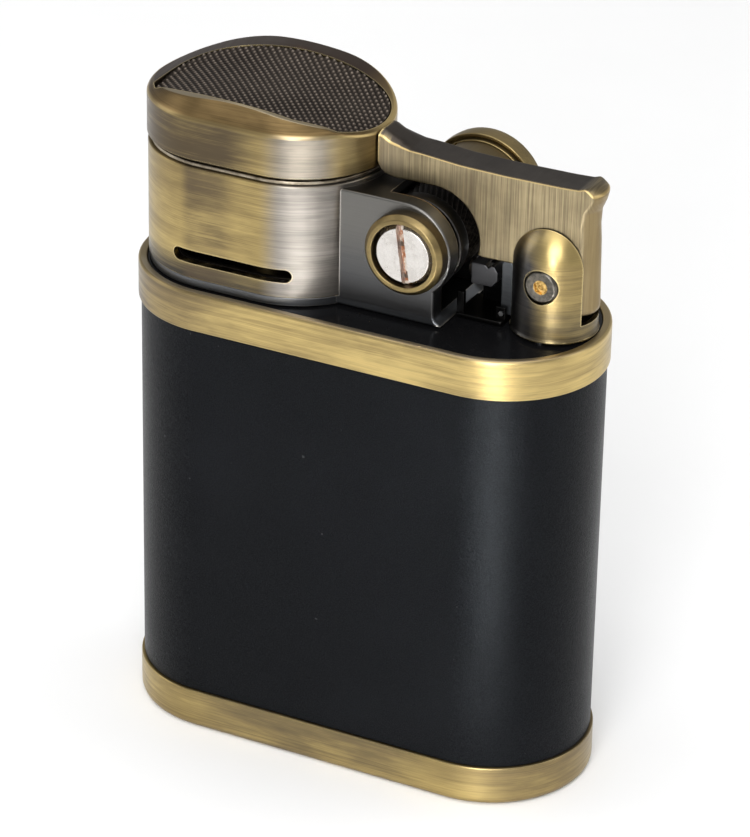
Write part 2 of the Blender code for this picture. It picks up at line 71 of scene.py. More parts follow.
def joint_point(name):
    for joint in frame["record"]["behaviour"]["joints"]:
        if joint["name"] == name:
            return Vector(joint["pos_m"]) / MM
    raise ValueError(name)


def round_ends(node):
    """Left and right end centres, radius, bottom and top of a round-ended node."""
    low, high = span(node)
    return low.x + high.y, high.x - high.y, high.y, low.z, high.z


def round_node(node):
    """Low and high corner, radius and upright centre line of a round node."""
    low, high = span(node)
    return low, high, (high.x - low.x) / 2, ((low.x + high.x) / 2, 0, 0)


CASE_LEFT, CASE_RIGHT, BAND_R, BASE_BOTTOM, BASE_TOP = round_ends("base_cup")
SLEEVE_R = round_ends("body_sleeve")[2]
BAND_BOTTOM, BAND_TOP = round_ends("top_band")[3:]
DECK_TOP = round_ends("deck_plate")[4]
CHIM_LEFT, CHIM_RIGHT, CHIM_R, CHIM_BOTTOM, CHIM_TOP = round_ends("chimney")
LINER_LEFT, LINER_RIGHT, LINER_R, LINER_BOTTOM, LINER_TOP = round_ends("chimney_liner")
CAP_LEFT, CAP_RIGHT, CAP_R, CAP_BOTTOM, CAP_CROWN = round_ends("cap_shell")
PIVOT = joint_point("arm_lift")
AXLE = joint_point("striker_spin")
LEVER_FOOT = joint_point("lever_swing")
FILLER = joint_point("filler_turn")
AXLE_LINE, PIVOT_LINE, LEVER_LINE = ((p.x, 0, p.z) for p in (AXLE, PIVOT, LEVER_FOOT))


# ---------------------------------------------------------------- mesh tools

def arc(cx, cy, radius, start, end, steps):
    points = []
    for k in range(steps + 1):
        angle = math.radians(start + (end - start) * k / steps)
        points.append((cx + radius * math.cos(angle), cy + radius * math.sin(angle)))
    return points


def stadium(left, right, radius):
    return arc(right, 0, radius, -90, 90, STEPS) + arc(left, 0, radius, 90, 270, STEPS)


def rounded(points, closed=True, steps=6):
    """Round the corners of a polyline of (u, v, corner radius)."""
    result = []
    count = len(points)
    for i, (u, v, radius) in enumerate(points):
        corner = Vector((u, v))
        if radius <= 0 or (not closed and i in (0, count - 1)):
            result.append((u, v))
            continue
        before = Vector(points[i - 1][:2]) - corner
        after = Vector(points[(i + 1) % count][:2]) - corner
        half = before.angle(after) / 2
        reach = min(radius / math.tan(half), 0.48 * before.length, 0.48 * after.length)
        start, end = corner + before.normalized() * reach, corner + after.normalized() * reach
        for k in range(steps + 1):
            s = k / steps
            point = start * (1 - s) ** 2 + corner * (2 * s * (1 - s)) + end * s ** 2
            result.append((point.x, point.y))
    return result


def offset(outline, distance):
    """Move a closed outline inwards by distance."""
    area = 0.0
    count = len(outline)
    for i in range(count):
        (ax, ay), (bx, by) = outline[i], outline[(i + 1) % count]
        area += ax * by - bx * ay
    turn = 1 if area > 0 else -1
    moved = []
    for i in range(count):
        here = Vector(outline[i])
        back = (here - Vector(outline[i - 1])).normalized()
        ahead = (Vector(outline[(i + 1) % count]) - here).normalized()
        n1, n2 = Vector((-back.y, back.x)) * turn, Vector((-ahead.y, ahead.x)) * turn
        inward = (n1 + n2) / max(1 + n1.dot(n2), 0.4)
        point = here + inward * distance
        moved.append((point.x, point.y))
    return moved


def loft(rings, closed=False):
    bm = bmesh.new()
    loops = [[bm.verts.new(point) for point in ring] for ring in rings]
    pairs = list(zip(loops, loops[1:]))
    if closed:
        pairs.append((loops[-1], loops[0]))
    for lower, upper in pairs:
        for i in range(len(lower)):
            j = (i + 1) % len(lower)
            bm.faces.new((lower[i], lower[j], upper[j], upper[i]))
    if not closed:
        bm.faces.new(loops[0])
        bm.faces.new(loops[-1])
    return bm


def turned(profile, centre, axis, steps=96, closed=False):
    """Revolve (radius, position along the axis) about an axis through centre."""
    rings = []
    for radius, along in profile:
        ring = []
        for u, v in arc(0, 0, radius, 0, 360, steps)[:-1]:
            shift = {"X": (along, u, v), "Y": (u, along, v), "Z": (u, v, along)}[axis]
            ring.append([c + s for c, s in zip(centre, shift)])
        rings.append(ring)
    return loft(rings, closed)


def stadium_loft(left, right, profile, closed=False):
    return loft([[(x, y, z) for x, y in stadium(left, right, r)] for r, z in profile], closed)


def lathe(points, centre, axis="Y", closed=True, steps=96):
    """Turn a profile whose corners are rounded."""
    return turned(rounded(points, closed), centre, axis, steps, closed)


def case_ring(points, closed=True, ends=(CASE_LEFT, CASE_RIGHT)):
    """Sweep a profile with rounded corners round the case's plan, or round other ends."""
    return stadium_loft(*ends, rounded(points, closed), closed)


def spun(bm, centre, degrees, axis="Y"):
    """Turn a cutter about an axis through centre."""
    there = Matrix.Translation(Vector(centre))
    spin = there @ Matrix.Rotation(math.radians(degrees), 4, axis)
    bm.transform(spin @ Matrix.Translation(-Vector(centre)))
    return bm


def bevel_levels(low, high, width, steps=4):
    """(inset, level) pairs that round both edges of a plate, if it has a bevel."""
    if not width:
        return [(0, low), (0, high)]
    levels = []
    for k in range(steps + 1):
        angle = math.radians(90 * k / steps)
        levels.append((width * (1 - math.sin(angle)), low + width * (1 - math.cos(angle))))
    return levels + [(inset, high + low - level) for inset, level in reversed(levels)]


def side_plate(outline, y_low, y_high, bevel=0.0):
    """Extrude an (x, z) outline along Y with rounded edges."""
    return loft([[(x, y, z) for x, z in offset(outline, inset)]
                 for inset, y in bevel_levels(y_low, y_high, bevel)])


def floor_plate(outline, z_low, z_high, bevel=0.0):
    return loft([[(x, y, z) for x, y in offset(outline, inset)]
                 for inset, z in bevel_levels(z_low, z_high, bevel)])


def box(low, high, radius=0, bevel=0.0):
    """A box, with its upright corners and its other edges rounded if asked."""
    corners = [(low[0], low[1], radius), (high[0], low[1], radius),
               (high[0], high[1], radius), (low[0], high[1], radius)]
    return floor_plate(rounded(corners), low[2], high[2], bevel)


def rod(radius, start, end, centre, axis, steps=64):
    return turned(((radius, start), (radius, end)), centre, axis, steps)


def place(name, data):
    """Put new data into the scene as an object."""
    obj = bpy.data.objects.new(name, data)
    bpy.context.scene.collection.objects.link(obj)
    return obj


def to_object(name, bm):
    bmesh.ops.remove_doubles(bm, verts=bm.verts, dist=1e-5)
    bmesh.ops.recalc_face_normals(bm, faces=bm.faces)
    bmesh.ops.scale(bm, vec=(MM, MM, MM), verts=bm.verts)
    mesh = bpy.data.meshes.new(name)
    bm.to_mesh(mesh)
    bm.free()
    return place(name, mesh)


def combine(obj, bm, operation="DIFFERENCE"):
    """Apply a Boolean with a tool made from bm, then remove the tool."""
    tool = to_object("tool", bm)
    modifier = obj.modifiers.new("shape", "BOOLEAN")
    modifier.operation = operation
    modifier.solver = "EXACT"
    modifier.object = tool
    graph = bpy.context.evaluated_depsgraph_get()
    mesh = bpy.data.meshes.new_from_object(obj.evaluated_get(graph))
    obj.modifiers.clear()
    old = obj.data
    obj.data = mesh
    mesh.name = obj.name
    bpy.data.meshes.remove(old)
    tool_mesh = tool.data
    bpy.data.objects.remove(tool)
    bpy.data.meshes.remove(tool_mesh)


def finish_piece(obj, material, body, nodes, bevel=0.0, sharp=50):
    """Shade, soften the cut edges, paint and hand the piece to its body."""
    obj.data.materials.clear()
    obj.data.materials.append(material)
    obj.data.shade_smooth()
    if bevel:
        edges = obj.modifiers.new("edges", "BEVEL")
        edges.width = bevel * MM
        edges.segments = 2
        edges.limit_method = "ANGLE"
        edges.angle_limit = math.radians(35)
        edges.miter_outer = "MITER_ARC"
        edges.use_clamp_overlap = True
    obj.data.set_sharp_from_angle(angle=math.radians(sharp))
    normals = obj.modifiers.new("normals", "WEIGHTED_NORMAL")
    normals.keep_sharp = True
    normals.weight = 80
    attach(obj, body)
    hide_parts(*nodes)


def make(name, bm, material, body, nodes, bevel=0.0, sharp=50, cuts=(), joins=()):
    obj = to_object(name, bm)
    for extra in joins:
        combine(obj, extra, "UNION")
    for cutter in cuts:
        combine(obj, cutter)
    finish_piece(obj, material, body, nodes, bevel, sharp)


# ---------------------------------------------------------------- material tools

class Graph:
    """A short way to write a node tree around one Principled shader."""

    def __init__(self, name):
        self.material = bpy.data.materials.new(name)
        self.material.use_nodes = True
        self.tree = self.material.node_tree
        self.shader = self.tree.nodes["Principled BSDF"]
        self.place = self.node("ShaderNodeTexCoord").outputs["Object"]
        self.normal = self.node("ShaderNodeTexCoord").outputs["Normal"]

    def node(self, kind, inputs=None, **settings):
        node = self.tree.nodes.new(kind)
        for key, value in settings.items():
            setattr(node, key, value)
        for key, value in (inputs or {}).items():
            self.feed(node.inputs[key], value)
        return node

    def feed(self, socket, value):
        if isinstance(value, bpy.types.NodeSocket):
            self.tree.links.new(value, socket)
        elif isinstance(value, tuple) and len(value) == 3 and socket.type == "RGBA":
            socket.default_value = (*value, 1.0)
        else:
            socket.default_value = value

    def calc(self, operation, a, b=0.0):
        return self.node("ShaderNodeMath", {0: a, 1: b, 2: 0.0}, operation=operation).outputs[0]

    def times(self, a, b):
        return self.calc("MULTIPLY", a, b)

    def plus(self, a, b):
        return self.calc("ADD", a, b)

    def vector(self, operation, a, b=None, output=0):
        inputs = {0: a} if b is None else {0: a, 1: b}
        return self.node("ShaderNodeVectorMath", inputs, operation=operation).outputs[output]

    def ramp(self, value, low, high, to_low=0.0, to_high=1.0):
        return self.node("ShaderNodeMapRange", {
            "Value": value, "From Min": low, "From Max": high,
            "To Min": to_low, "To Max": to_high,
        }, interpolation_type="SMOOTHSTEP").outputs["Result"]

    def along(self, axis, low, high, *to):
        """A ramp over the place along an axis, in mm."""
        return self.ramp(self.axis_of(axis), low * MM, high * MM, *to)

    def facing(self, axis, low, high, *to):
        """A ramp over how far the surface faces along an axis."""
        return self.ramp(self.axis_of(axis, self.normal), low, high, *to)

    def noise(self, scale, detail=3.0, rough=0.55, warp=0.0, source=None):
        """Noise whose grains are 1/scale metres, along each axis or all of them."""
        size = scale if isinstance(scale, tuple) else (scale, scale, scale)
        return self.node("ShaderNodeTexNoise", {
            "Vector": self.vector("MULTIPLY", source or self.place, size), "Scale": 1.0,
            "Detail": detail, "Roughness": rough, "Distortion": warp,
        }).outputs["Fac"]

    def mix(self, factor, a, b):
        node = self.node("ShaderNodeMix", {0: factor, 6: a, 7: b}, data_type="RGBA")
        return node.outputs[2]

    def fade(self, value, a, b, low=0.3, high=0.7):
        """From colour a to colour b as value climbs."""
        return self.mix(self.ramp(value, low, high), a, b)

    def rub(self, colour, radius, amount, bright):
        """Wear the edges bright."""
        return self.mix(self.times(self.edge(radius), amount), colour, bright)

    def bump(self, height, strength, distance):
        inputs = {"Height": height, "Strength": strength, "Distance": distance * MM}
        return self.node("ShaderNodeBump", inputs).outputs["Normal"]

    def edge(self, radius):
        """1 on edges that wear bright, 0 on open faces."""
        soft = self.node("ShaderNodeBevel", {"Radius": radius * MM}, samples=4).outputs[0]
        hard = self.node("ShaderNodeNewGeometry").outputs["Normal"]
        dot = self.vector("DOT_PRODUCT", soft, hard, "Value")
        return self.ramp(self.calc("SUBTRACT", 1.0, dot), 0.02, 0.25)

    def axis_of(self, name, source=None):
        return self.node("ShaderNodeSeparateXYZ", {0: source or self.place}).outputs[name]

    def flat_place(self, centre):
        """The place across a line along Y, and its distance from that line."""
        moved = self.vector("SUBTRACT", self.place, tuple(c * MM for c in centre))
        flat = self.vector("MULTIPLY", moved, (1, 0, 1))
        return flat, self.vector("LENGTH", flat, output="Value")

    def round_place(self, centre):
        """Coordinates for turned faces: radius, then a little of the angle."""
        flat, radius = self.flat_place(centre)
        unit = self.vector("NORMALIZE", flat)
        slow = self.vector("MULTIPLY", unit, (0.0012, 0.0012, 0.0012))
        both = self.node("ShaderNodeCombineXYZ", {0: radius, 1: radius}).outputs[0]
        return self.vector("ADD", slow, both)

    def surface(self, colour, rough, metallic, normal=None, **extra):
        extra.update(Base_Color=colour, Roughness=rough, Metallic=metallic)
        if normal:
            extra["Normal"] = normal
        for key, value in extra.items():
            self.feed(self.shader.inputs[key.replace("_", " ")], value)
        return self.material

    def brush_direction(self, across):
        """Stretch highlights across the brush lines, in the piece's own frame."""
        vector = self.node("ShaderNodeVectorTransform", {0: across}, vector_type="VECTOR",
                           convert_from="OBJECT", convert_to="WORLD").outputs[0]
        self.feed(self.shader.inputs["Tangent"], vector)
        self.shader.inputs["Anisotropic"].default_value = 0.65


BRASS_LIGHT = (0.6, 0.455, 0.185)
BRASS_MID = (0.4, 0.3, 0.125)
BRASS_DARK = (0.135, 0.098, 0.055)
BRASS_WORN = (0.86, 0.7, 0.36)
LEVEL = (90, 90, 7000), (0, 0, 1)       # brush lines that run level, and across them
LENGTH = (90, 7000, 7000), (0, 1, 0)    # brush lines along the case


def dim(colour, amount):
    return tuple(c * amount for c in colour)


def antique_brass(name, patina, deep=1.0, silver_reflection=None, painted_shades=(), painted_bands=(), top=None,
                  centre=None, streaks=1.0, lines=LEVEL):
    """Brushed brass with brown patina left in the low places and bright worn edges.

    The silver, shade and band tints paint reflections, shade and highlights onto stretches along an
    axis, in mm; top gives the painted reflections of the faces that look up: the front slope, the
    flat and the rounded rim, whose gold is a painted highlight. With centre, the turned flanks get
    painted shade.
    """
    g = Graph(name)
    source = g.round_place(centre) if centre else None
    scale = (7000, 7000, 7000) if centre else lines[0]
    fine = g.noise(dim(scale, 1.9), 2.0, 0.6, source=source)
    broad = g.noise(dim(scale, 0.45), 3.0, 0.6, source=source)
    streak = g.plus(g.times(fine, 0.55), g.times(broad, 0.45))
    clouds = g.noise((90, 90, 420), 4.0, 0.62, 0.3)
    soft = g.plus(0.5, g.times(g.calc("SUBTRACT", streak, 0.5), streaks))
    tone = g.plus(g.times(soft, 0.6), g.times(clouds, 0.8))
    lit = g.ramp(tone, 0.44 + 0.28 * (patina - 0.5), 0.92 + 0.2 * (patina - 0.5))
    colour = g.mix(lit, BRASS_DARK, dim(BRASS_LIGHT, deep))
    colour = g.mix(g.ramp(clouds, 0.35, 0.7, 0.45, 0.1), colour, dim(BRASS_MID, deep))
    # Painted shade and reflections: darker or tinted stretches along an axis.
    for axis, low, high, dark, amount in painted_shades:
        mask = g.along(axis, low, high, amount, 0.0)
        mask = g.times(mask, g.ramp(tone, 0.5, 0.95, 1.0, 0.6))
        colour = g.mix(mask, colour, dark)
    # Painted reflections and highlights: tinted stretches between two ramps along an axis.
    for axis, (a, b, c, d), dark, amount in painted_bands:
        mask = g.times(g.along(axis, a, b), g.along(axis, c, d, amount, 0.0))
        mask = g.times(mask, g.ramp(tone, 0.45, 0.9, 1.0, 0.35))
        colour = g.mix(mask, colour, dark)
    # Painted reflection: a silvery grey sheen over a stretch along x.
    if silver_reflection:
        low, high, amount, end = silver_reflection
        mask = g.along("X", low, high, 0.0, amount)
        mask = g.times(mask, g.along("X", end, end + 1.6, 1.0, 0.1))
        grey = g.mix(lit, (0.15, 0.137, 0.125), (0.33, 0.305, 0.275))
        colour = g.mix(mask, colour, grey)
    # Painted reflections on the faces that look up: the front slope, the back and the flat get
    # tints of what they mirror.
    if top:
        facet_tint, flat_tint, rim_highlight_tint = top
        up = g.axis_of("Z", g.normal)
        behind = g.along("Y", -3.0, 1.0)
        facet = g.fade(tone, dim(facet_tint, 0.42), facet_tint, 0.5, 0.85)
        colour = g.mix(g.ramp(up, 0.42, 0.66), colour, g.mix(behind, facet, rim_highlight_tint))
        # Painted highlight: gold on the rounded rim between wall and top.
        rim_highlight_mask = g.times(g.ramp(up, 0.08, 0.28), g.ramp(up, 0.5, 0.7, 1.0, 0.0))
        rim_highlight_mask = g.times(rim_highlight_mask, g.along("Y", -7.5, -2, 0.3, 0.7))
        colour = g.mix(rim_highlight_mask, colour, rim_highlight_tint)
        flat = g.mix(g.along("X", -4.5, -1.5, 0.0, 0.8), flat_tint, facet_tint)
        level = g.mix(g.along("Y", -5.6, -4.2), (0.4, 0.33, 0.22), flat)
        colour = g.fade(up, colour, level, 0.9, 0.96)
    # Painted shade: the turned flanks darken, less so behind.
    if centre:
        flank_shade = g.ramp(g.calc("ABSOLUTE", g.axis_of("Y", g.normal)), 0.15, 0.55, 0.75, 0.0)
        flank_shade = g.times(flank_shade, g.along("Y", 0.0, 1.0, 1.0, 0.3))
        colour = g.mix(flank_shade, colour, (0.06, 0.045, 0.03))
    colour = g.rub(colour, 0.22, 0.75 * deep, BRASS_WORN)
    if not centre:
        g.brush_direction(lines[1])
    return g.surface(colour, g.ramp(streak, 0.3, 0.7, 0.4, 0.3), 1.0,
                     g.bump(streak, 0.1 * streaks, 0.02))


def dark_metal(name, light, dark, level=None, worn=(0.55, 0.5, 0.42), wear=0.3, shoulder=False):
    """Black nickel: grey satin with thin bright edges; given a level, painted shade darkens it
    towards the deck, otherwise its tone varies at random.
    """
    g = Graph(name)
    streak = g.noise(dim(LEVEL[0], 1.3), 3.0, 0.6)
    # Given a level, painted shade: darker towards the bottom.
    height = g.along("Z", *level) if level else g.ramp(g.noise(160, 3.0, 0.55), 0.3, 0.7)
    tone = g.plus(g.times(height, 0.8), g.times(streak, 0.25))
    colour = g.mix(g.ramp(tone, 0.05, 0.95), dark, light)
    if shoulder:
        # Painted reflection: the faces that look up are darkened.
        up = g.facing("Z", 0.8, 0.95)
        colour = g.mix(g.times(up, 0.8), colour, (0.025, 0.023, 0.021))
        end = g.times(g.along("Z", 51.8, 53.4), g.along("X", 2.5, 5.0))
        worn = g.mix(end, worn, (0.8, 0.52, 0.24))
        # Painted reflection: the flange below z 44.15 is lightened to bluish silver.
        colour = g.mix(g.along("Z", 43.95, 44.15, 0.8, 0.0), colour, (0.16, 0.168, 0.18))
    colour = g.rub(colour, 0.22 if shoulder else 0.16, wear, worn)
    if shoulder:
        # Painted shade: the far ear's inner faces are darkened to near black.
        far_ear_shade = g.times(g.along("Y", 2.6, 3.4), g.facing("Y", 0.2, 0.5, 0.85, 0.0))
        colour = g.mix(far_ear_shade, colour, (0.014, 0.013, 0.012))
    return g.surface(colour, g.ramp(streak, 0.3, 0.7, 0.42, 0.3), 1.0,
                     g.bump(streak, 0.08, 0.012))


def plain_metal(name, colour, rough, lines=6000, grime=0.35):
    """Turned or plated metal with fine tool lines and a little dirt."""
    g = Graph(name)
    tool = g.noise(lines, 2.0, 0.6)
    dirt = g.noise(420, 4.0, 0.6)
    mask = g.times(g.ramp(dirt, 0.45, 0.75), grime)
    tint = g.mix(mask, g.fade(tool, dim(colour, 0.86), colour, 0.35, 0.65), dim(colour, 0.45))
    tint = g.rub(tint, 0.12, 0.35, tuple(min(c * 1.4, 0.95) for c in colour))
    return g.surface(tint, g.ramp(dirt, 0.3, 0.7, rough - 0.04, rough + 0.1), 1.0,
                     g.bump(tool, 0.1, 0.01))


def wrap_material():
    """Satin black skin with a very fine grain and a few specks."""
    g = Graph("black_wrap")
    grain = g.noise(5200, 3.0, 0.65)
    fine = g.noise(11000, 2.0, 0.6)
    clouds = g.noise(70, 3.0, 0.5)
    speck = g.ramp(g.noise(1500, 1.0, 0.5), 0.8, 0.84)
    colour = g.fade(grain, (0.0012, 0.0013, 0.0016), (0.0036, 0.0038, 0.0046), 0.35, 0.75)
    colour = g.mix(g.ramp(clouds, 0.4, 0.75, 0.0, 0.35), colour, (0.006, 0.0064, 0.0078))
    colour = g.mix(g.times(speck, 0.35), colour, (0.12, 0.12, 0.125))
    height = g.plus(g.times(grain, 0.65), g.times(fine, 0.35))
    rough = g.ramp(clouds, 0.3, 0.7, 0.33, 0.39)
    return g.surface(colour, rough, 0.0, g.bump(height, 0.8, 0.055),
                     Specular_IOR_Level=g.ramp(fine, 0.35, 0.65, 0.05, 0.145),
                     Specular_Tint=(0.84, 0.92, 1.0))


def enamel_material():
    g = Graph("black_enamel")
    ripple = g.noise(900, 3.0, 0.5)
    dust = g.ramp(g.noise(2600, 2.0, 0.6), 0.62, 0.8)
    colour = g.mix(g.times(dust, 0.3), (0.005, 0.005, 0.0055), (0.03, 0.029, 0.027))
    rough = g.ramp(ripple, 0.3, 0.7, 0.16, 0.28)
    return g.surface(colour, rough, 0.0, g.bump(ripple, 0.05, 0.02), Specular_IOR_Level=0.1)


def panel_material(crest):
    """Dark oxidised knurl whose crests are rubbed bright."""
    g = Graph("knurled_panel")
    worn = g.noise(1300, 3.0, 0.6)
    wide = g.noise(120, 2.0, 0.5)
    height = g.ramp(g.node("ShaderNodeAttribute", attribute_name="crest").outputs["Fac"],
                    0.25, 0.95)
    rubbed = g.times(height, g.ramp(worn, 0.25, 0.7, 0.45, 1.0))
    base = g.fade(wide, (0.024, 0.019, 0.016), (0.044, 0.036, 0.03))
    colour = g.mix(rubbed, base, crest)
    return g.surface(colour, g.ramp(rubbed, 0.0, 1.0, 0.5, 0.32), 1.0, g.bump(worn, 0.2, 0.02))


def sooted_material():
    """The liner: blackened by the flame inside and below, bare metal only at its lip."""
    g = Graph("sooted_liner")
    soot = g.noise(900, 4.0, 0.6)
    lip = g.along("Z", 54.5, 54.6)
    black = g.fade(soot, (0.01, 0.009, 0.008), (0.026, 0.022, 0.018))
    bare = g.fade(soot, (0.17, 0.14, 0.1), (0.4, 0.35, 0.27))
    return g.surface(g.mix(lip, black, bare), g.ramp(lip, 0, 1, 0.6, 0.35), 1.0,
                     g.bump(soot, 0.15, 0.02))


def slotted_material(front):
    """Nickel screw head whose slot holds orange rust and pale chips."""
    g = Graph("slotted_nickel")
    source = g.round_place(AXLE)
    tool = g.noise(5200, 2.0, 0.6, source=source)
    dirt = g.noise(700, 4.0, 0.6)
    face = g.fade(dirt, (0.7, 0.67, 0.635), (0.54, 0.51, 0.475), 0.35, 0.75)
    face = g.mix(g.ramp(tool, 0.3, 0.7, 0.0, 0.25), face, (0.45, 0.42, 0.39))
    turn = math.radians(SLOT_TILT)
    x, z = (g.calc("SUBTRACT", g.axis_of(axis), getattr(AXLE, axis.lower()) * MM) for axis in "XZ")
    across = g.plus(g.times(x, math.cos(turn)), g.times(z, math.sin(turn)))
    inside = g.ramp(g.calc("ABSOLUTE", across), 0.3 * MM, 0.36 * MM, 1.0, 0.0)
    deep = g.along("Y", front + 0.05, front + 0.2)
    chips = g.noise(1100, 3.0, 0.6)
    rust = g.fade(chips, (0.3, 0.1, 0.03), (0.62, 0.56, 0.48), 0.42, 0.56)
    rust = g.mix(g.ramp(dirt, 0.55, 0.62), rust, (0.07, 0.045, 0.03))
    mask = g.times(inside, deep)
    colour = g.mix(mask, face, rust)
    rough = g.plus(g.ramp(dirt, 0.3, 0.7, 0.2, 0.32), g.times(mask, 0.4))
    return g.surface(colour, rough, g.calc("SUBTRACT", 1.0, g.times(mask, 0.8)),
                     g.bump(tool, 0.08, 0.01))


def cotton_material(name, tint=(0.76, 0.73, 0.66)):
    g = Graph(name)
    fibre = g.noise((2500, 2500, 9000), 4.0, 0.6, 0.5)
    stain = g.noise(500, 3.0, 0.6)
    colour = g.fade(fibre, dim(tint, 0.72), tint)
    colour = g.mix(g.ramp(stain, 0.5, 0.8, 0.0, 0.4), colour, (0.42, 0.35, 0.25))
    return g.surface(colour, 0.92, 0.0, g.bump(fibre, 0.5, 0.08), Sheen_Weight=0.3)


def rubber_material():
    g = Graph("rubber")
    grain = g.noise(3000, 3.0, 0.6)
    colour = g.fade(grain, (0.014, 0.014, 0.014), (0.032, 0.031, 0.03))
    return g.surface(colour, g.ramp(grain, 0.3, 0.7, 0.6, 0.75), 0.0, g.bump(grain, 0.15, 0.02))


def wheel_material():
    """Hardened striker steel, brown-black, with grey tooth tips."""
    g = Graph("striker_steel")
    grit = g.noise(3500, 4.0, 0.65)
    colour = g.fade(grit, (0.012, 0.01, 0.009), (0.05, 0.042, 0.034), 0.35, 0.7)
    colour = g.rub(colour, 0.1, 0.4, (0.16, 0.14, 0.12))
    return g.surface(colour, g.ramp(grit, 0.3, 0.7, 0.38, 0.55), 1.0, g.bump(grit, 0.2, 0.02))


# ---------------------------------------------------------------- finishes

# BROWN and BLUE_BLACK tint painted shade and reflections; the rim gold is a painted highlight.
BROWN = (0.13, 0.1, 0.07)
BLUE_BLACK = (0.035, 0.037, 0.043)
RIM_HIGHLIGHT_GOLD = (0.66, 0.49, 0.21)
# Painted reflection: the upper band darkens towards its left end; its top faces get painted
# reflections and a painted rim highlight.
BAND = antique_brass("band_brass", 0.38, deep=1.15,
                     painted_shades=[("X", -17, -6, BROWN, 0.95)],
                     top=((0.42, 0.32, 0.16), (0.3, 0.23, 0.12), (0.55, 0.42, 0.19)))
# Painted reflection: the bottom band darkens at its right end and across its middle.
BASE = antique_brass("base_brass", 0.5, deep=0.95,
                     painted_shades=[("X", 18.5, 14.5, (0.17, 0.13, 0.085), 0.6)],
                     painted_bands=[("X", (-14, -8, 6, 12), (0.17, 0.135, 0.085), 0.8)])
# Painted reflections and shade: silvery over the right part, brown at the left end and in a band at
# x -14.6 to -8.6, grey near the right end, blue-black towards the bottom.
CHIMNEY = antique_brass("chimney_brass", 0.54, silver_reflection=(-7.0, -4.8, 0.97, 30), deep=0.95,
                        painted_shades=[("X", -20.7, -18.0, BROWN, 0.6),
                                ("X", -0.6, -2.4, (0.15, 0.145, 0.145), 0.8),
                                ("Z", 44.2, 47.4, BLUE_BLACK, 0.9)],
                        painted_bands=[("X", (-14.6, -13.4, -11.0, -8.6), (0.115, 0.088, 0.06), 0.85)])
# Painted reflections and shade: darker at the left, brass-toned at the right end, silvery between,
# and painted reflections and a gold rim highlight on the top.
CAP = antique_brass("cap_brass", 0.66, silver_reflection=(-7.0, -4.6, 0.85, -2.0),
                    painted_shades=[("X", -10.5, -5.6, (0.105, 0.08, 0.05), 1.2),
                            ("X", 0.6, -2.9, (0.3, 0.22, 0.1), 0.5)],
                    top=((0.23, 0.155, 0.068), (0.072, 0.047, 0.032), RIM_HIGHLIGHT_GOLD))
# Painted shade: blue-black on the left and towards the bottom, a silvery reflection on the left, a
# painted gold highlight on the dome.
POST = antique_brass("post_brass", 0.56, silver_reflection=(17.8, 15.2, 0.45, 30), deep=0.9,
                     painted_shades=[("X", 15.6, 17.9, BLUE_BLACK, 1.5),
                             ("Z", 44.0, 48.4, BLUE_BLACK, 0.85)],
                     painted_bands=[("Z", (50.2, 51.8, 60, 61), (0.58, 0.44, 0.18), 0.85)])
WHEEL_BRASS = antique_brass("wheel_brass", 0.6, 0.8, lines=LENGTH)
# BOSS and DRUM: painted shade on the turned flanks.
BOSS = antique_brass("boss_brass", 0.75, 0.6, centre=AXLE, streaks=0.3)
DRUM = antique_brass("drum_brass", 0.8, 0.6, centre=AXLE, streaks=0.4)
# Painted shade and reflections: the frame darkens towards the deck, its tops darken, its flange
# lightens, its far ear is near black.
FRAME = dark_metal("gunmetal", (0.15, 0.145, 0.135), (0.088, 0.089, 0.092),
                   level=(44.5, 53.0), worn=(0.62, 0.58, 0.52),
                   wear=0.8, shoulder=True)
# Painted shade: the flint holder darkens towards its bottom.
FLINT_METAL = dark_metal("flint_gunmetal", (0.1, 0.1, 0.105), (0.018, 0.018, 0.02),
                         level=(44.3, 47.0), worn=(0.2, 0.2, 0.2))
CHEEK = dark_metal("cheek_metal", (0.06, 0.055, 0.05), (0.018, 0.017, 0.016), wear=0.35)
BLACKENED = dark_metal("blackened_metal", (0.02, 0.019, 0.018), (0.008, 0.008, 0.008),
                       worn=(0.05, 0.05, 0.05), wear=0.2)
NICKEL = slotted_material(span("axle_screw")[0].y)
SOOTED = sooted_material()
STEEL = plain_metal("steel", (0.52, 0.52, 0.52), 0.3)
GREY_STEEL = plain_metal("grey_steel", (0.13, 0.137, 0.145), 0.34, lines=(900, 900, 6000))
SOOTY_STEEL = plain_metal("sooty_steel", (0.15, 0.14, 0.13), 0.38, grime=0.8)
INNER_BRASS = plain_metal("inner_brass", (0.55, 0.42, 0.19), 0.3, lines=(200, 200, 7000))
WRAP = wrap_material()
ENAMEL = enamel_material()
COTTON = cotton_material("cotton")
RUBBER = rubber_material()
STRIKER = wheel_material()


# ---------------------------------------------------------------- case

